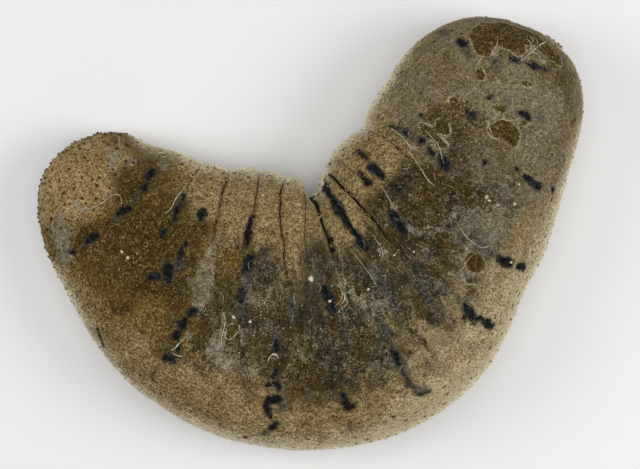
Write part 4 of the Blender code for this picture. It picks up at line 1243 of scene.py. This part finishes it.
def tufts(name, roots, kind, finish, seed, sizes=None):
    """Small closed turned forms that grow on the skin, in one mesh."""
    along, angle = roots
    count = len(along)
    draw = np.random.default_rng(seed)
    size = draw.uniform(*TUFT_SIZES, count) if sizes is None else sizes
    size = size[:, None, None, None]
    turn = draw.uniform(0, 2 * math.pi, count)[:, None]
    place = skin_surface(along, angle)
    forward, around, out = skin_frame(along, angle)
    tilt = draw.normal(0, kind.lean, (2, count, 1))
    up = unit(out + tilt[0] * forward + tilt[1] * around)
    phi = turn + 2 * math.pi * np.arange(kind.sides)[None, :] / kind.sides
    across = np.cos(phi)[..., None] * forward[:, None] + np.sin(phi)[..., None] * around[:, None]
    radius, height, rim, pit = (np.array(row) for row in zip(*kind.profile))
    rough = 1 + draw.uniform(-kind.rough, kind.rough, (count, 1, kind.sides, 1))
    rings = radius[None, :, None, None] * rough * across[:, None]
    rings = rings + height[None, :, None, None] * up[:, None, None]
    rings = place[:, None, None] + size * rings
    caps = np.array([height[-1] + kind.tip, height[0] - kind.root])
    ends = place[:, None] + size[:, 0] * caps[None, :, None] * up[:, None]
    points = np.concatenate([rings.reshape(count, -1, 3), ends], axis=1)
    points[..., 2] = np.maximum(points[..., 2], 0.0)
    faces, corners = tube_faces(len(kind.profile), kind.sides)
    each = points.shape[1]
    all_faces = faces[None] + each * np.arange(count)[:, None, None]
    root = np.stack([along / BODY_LENGTH, column_share(angle)], axis=-1)
    bake = root[:, None, None] + patch_places(corners, len(kind.profile), kind.sides)
    fields = {key: np.repeat(values, each) for key, values in markings(along, angle).items()}
    for key, values in (("rim", rim), ("pit", pit)):
        fields[key] = np.tile(np.append(np.repeat(values, kind.sides), [values[-1], values[0]]), count)
    fields["tone"] = np.repeat(draw.uniform(0, 1, count), each)
    return mesh_object(name, points.reshape(-1, 3), all_faces.reshape(-1, 3), finish, fields, bake)


def clear_of_openings(along, angle):
    points = plain_skin(along, angle)
    clear = np.ones(len(along), bool)
    for opening in (MOUTH, VENT):
        clear &= from_opening(opening, points) > opening.radius + CLEAR_OF_LIPS
    return clear


def feet(finish):
    """The tube feet: ringed pits on the back, dark-tipped nubs on the mouth end and flanks, and the
    suckers of the sole, which stand on the floor. Also the places and sizes of all but the suckers."""
    def on_back(along, angle):
        return clear_of_openings(along, angle) & (np.sin(np.radians(angle)) > LOWEST_BACK)

    def on_sole(along, angle):
        low = plain_skin(along, angle)[:, 2] < SOLE_LIFT + 0.02
        return clear_of_openings(along, angle) & low & (np.abs(np.cos(np.radians(angle))) < SOLE_HALF_WIDTH)

    def back_spacing(along):
        return FOOT_SPACING - MOUTH_CROWDING * smooth_step(*MOUTH_ALONG, along)

    along, angle = scattered(BACK_TRIES, 5, back_spacing, on_back)
    points = plain_skin(along, angle)
    wave = noise(points, 9.0, 71)
    smallest, added = FOOT_SIZE
    drawn = smallest + added * np.random.default_rng(10).uniform(0, 1, len(along)) ** 1.6
    sine = np.sin(np.radians(angle))
    oral = smooth_step(*MOUTH_ALONG, along)
    low = smooth_step(*LOW_FEET, sine) * (1 - oral)
    flank = smooth_step(*FLANK_FEET, np.abs(np.cos(np.radians(angle)))) * (1 - oral)
    sizes = drawn * (1 - 0.45 * low) * (1 + 0.25 * oral) * (1 + 0.3 * flank)
    nubs = along + NUBS_ALONG_WANDER * wave < NUBS_ALONG
    nubs |= sine < NUBS_BELOW + NUBS_BELOW_WANDER * wave
    sole = scattered(SOLE_TRIES, 8, FOOT_SPACING, on_sole)
    pieces = [
        tufts("ringed_feet", (along[~nubs], angle[~nubs]), RING_FOOT, finish, 6, sizes[~nubs]),
        tufts("nub_feet", (along[nubs], angle[nubs]), NUB_FOOT, finish, 7, sizes[nubs]),
        tufts("sole_feet", sole, SOLE_FOOT, finish, 9),
    ]
    return pieces, points, sizes


def granules(finish, foot_points, foot_sizes):
    """The fine grain of the back and flanks as real bumps between the tube feet, in pieces of equal
    lengths of the body."""
    tree = KDTree(len(foot_points))
    for i, point in enumerate(foot_points):
        tree.insert(point, i)
    tree.balance()
    draw = np.random.default_rng(12)
    angles = np.append(column_angles(), LEFT_COLUMN + 360)
    shares = np.linspace(0, 1, len(angles))
    rows = np.arange(*GRANULE_ALONG, GRANULE_PITCH)
    columns = np.arange(GRANULE_ROUND, shares[UPPER_COLUMNS], GRANULE_PITCH)
    far, turn = np.meshgrid(rows, columns, indexing="ij")
    far = far + GRANULE_PITCH * np.mod(GRANULE_SHIFT * np.arange(len(columns)), 1.0)
    far = far.ravel() + draw.uniform(-GRANULE_STRAY, GRANULE_STRAY, far.size)
    turn = turn.ravel() + draw.uniform(-GRANULE_STRAY, GRANULE_STRAY, turn.size)
    along = far * BODY_LENGTH
    angle = np.interp(turn, shares, angles)
    full = rounding(along)
    keep = (draw.uniform(0, 1, len(far)) < GRANULE_CHANCE * full) & clear_of_openings(along, angle)
    points = plain_skin(along, angle)
    keep &= fold_fields(along, angle, points)[1] < -CLEAR_OF_SLIT
    gap, foot_share = CLEAR_OF_FOOT
    for i in np.nonzero(keep)[0]:
        _, foot, away = tree.find(points[i])
        keep[i] = away > gap + foot_share * foot_sizes[foot]
    crowding = np.clip(full, 0.45, 1.0) * np.clip(stretch_of(along, angle), 0.7, 1.25)
    size = draw.uniform(0.7, 1.3, len(far)) * crowding
    pieces = []
    for i in range(GRANULE_PIECES):
        here = keep & (far >= i / GRANULE_PIECES) & (far < (i + 1) / GRANULE_PIECES)
        roots = (along[here], angle[here])
        pieces.append(tufts(f"granules_{i + 1}", roots, GRANULE, finish, 13 + i, size[here]))
    return pieces


def threads(name, strokes, finish):
    """Thin closed strands that lie on the skin, in one mesh. Their ends sink into it."""
    points, faces, bake = [], [], []
    first = 0
    for radius, path in strokes:
        places = np.array(path, float)
        knots = distances_along(plain_skin(*places.T))
        count = max(5, math.ceil(knots[-1] / THREAD_STEP))
        share = np.linspace(0, 1, count)
        along, angle = (natural_spline(knots, row)(share * knots[-1]) for row in places.T)
        full = np.sin(math.pi * np.clip(share, 0.03, 0.97)) ** 0.5
        line = skin_surface(along, angle, radius * (THREAD_RISE * full - THREAD_SINK))
        thick = THREAD_FULLNESS * radius * (0.3 + 0.7 * full) * (1 + THREAD_LUMPS * noise(line, 1.0, 81))
        out = skin_frame(along, angle)[2]
        side = unit(np.cross(unit(np.gradient(line, axis=0)), out))
        phi = 2 * math.pi * np.arange(THREAD_SIDES) / THREAD_SIDES
        ring = np.cos(phi)[None, :, None] * side[:, None] + np.sin(phi)[None, :, None] * out[:, None]
        tube = line[:, None] + thick[:, None, None] * ring
        points += [tube.reshape(-1, 3), line[[-1, 0]]]
        triangles, corners = tube_faces(count, THREAD_SIDES)
        faces.append(triangles + first)
        bake.append(strip_places(corners, along, angle))
        first += count * THREAD_SIDES + 2
    points, faces, bake = (np.concatenate(rows) for rows in (points, faces, bake))
    return mesh_object(name, points, faces, finish, None, bake)


def fibre_strokes():
    """Short fine fibres over the film and the middle of the back, kept well apart."""
    def in_film(along, angle):
        fields = markings(along, angle)
        middle = (fields["centre"] > 0.4) & (fields["back"] > 0.4)
        return (angle < 180) & (fields["peel"] < -0.5) & ((fields["film"] > 0.2) | middle)

    draw = np.random.default_rng(31)
    strokes = []
    for along, angle in zip(*scattered(FIBRE_TRIES, 30, FIBRE_SPACING, in_film)):
        length = draw.uniform(*FIBRE_LENGTHS)
        bearing = draw.normal(math.pi / 2, FIBRE_TURN)
        bend = draw.normal(0, FIBRE_BEND)
        path = []
        for onward, turn in ((-1, bearing - bend), (0, bearing), (1, bearing + bend)):
            reach = onward * length
            path.append((along + reach * math.cos(turn), angle + DEGREES_A_MM * reach * math.sin(turn)))
        strokes.append((draw.uniform(*FIBRE_RADII), path))
    return strokes


def stuck_bits():
    """The loose threads, fine fibres and grains on the skin."""
    mucus = plain_finish("dried_mucus", *MUCUS)
    made = [threads("mucus_threads", THREADS, mucus), threads("fine_fibres", fibre_strokes(), mucus)]
    for name, table, looks in (("shell_grains", PALE_GRAINS, SHELL), ("pink_grains", PINK_GRAINS, PINK)):
        along, angle, radius = np.array(table, float).T
        made.append(tufts(name, (along, angle), LUMP, plain_finish(name, *looks), 41, radius))
    return made


def openings(nodes):
    """Smooths and finishes the lips and tentacles, which stay the solids' own."""
    lips = plain_finish("lips", *LIPS)
    tentacle = plain_finish("tentacle_skin", *TENTACLES)
    for name, finish in (("mouth_lips", lips), ("vent_lips", lips), ("tentacles", tentacle)):
        node = nodes[name]
        node.material_slots[0].material = finish
        finer = node.modifiers.new("finer", "SUBSURF")
        finer.levels = 2
        finer.render_levels = 2


def floor_and_lights():
    finish = Finish("pale_floor")
    finish.set(Base_Color=FLOOR_GREY, Roughness=0.8)
    bpy.ops.mesh.primitive_plane_add(size=FLOOR_SIZE, location=(0, 0, 0))
    floor = bpy.context.object
    floor.name = "floor"
    floor.data.materials.append(finish.material)
    world = bpy.data.worlds.new("pale_room")
    bpy.context.scene.world = world
    world.use_nodes = True
    sky = world.node_tree.nodes["Background"]
    sky.inputs["Color"].default_value = SKY
    sky.inputs["Strength"].default_value = SKY_STRENGTH
    for name, (place, size, power) in LAMPS.items():
        light = bpy.data.lights.new(name, "AREA")
        light.shape = "DISK"
        light.size = size
        light.energy = power
        lamp = bpy.data.objects.new(name, light)
        lamp.location = [number * MM for number in place]
        lamp.rotation_mode = "QUATERNION"
        lamp.rotation_quaternion = (-lamp.location).to_track_quat("-Z", "Y")
        bpy.context.scene.collection.objects.link(lamp)


def camera():
    """Straight above, as the photo was taken. The picture's top is +Y."""
    made = bpy.data.objects.new("camera", bpy.data.cameras.new("camera"))
    made.location = [number * MM for number in CAMERA_PLACE]
    made.data.sensor_width = SENSOR_WIDTH
    made.data.lens = FOCAL_LENGTH
    bpy.context.scene.collection.objects.link(made)
    bpy.context.scene.camera = made


def main():
    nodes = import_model()["nodes"]
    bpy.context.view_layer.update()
    camera()
    floor_and_lights()
    bpy.context.scene.view_settings.view_transform = "Standard"
    finish = SkinFinish().material
    skin = skin_piece(finish)
    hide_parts("oral_end", "trunk_front", "trunk_middle", "trunk_rear", "anal_end")
    openings(nodes)
    foot_pieces, foot_points, foot_sizes = feet(finish)
    for piece in [skin, *foot_pieces, *granules(finish, foot_points, foot_sizes), *stuck_bits()]:
        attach(piece, "root")


main()
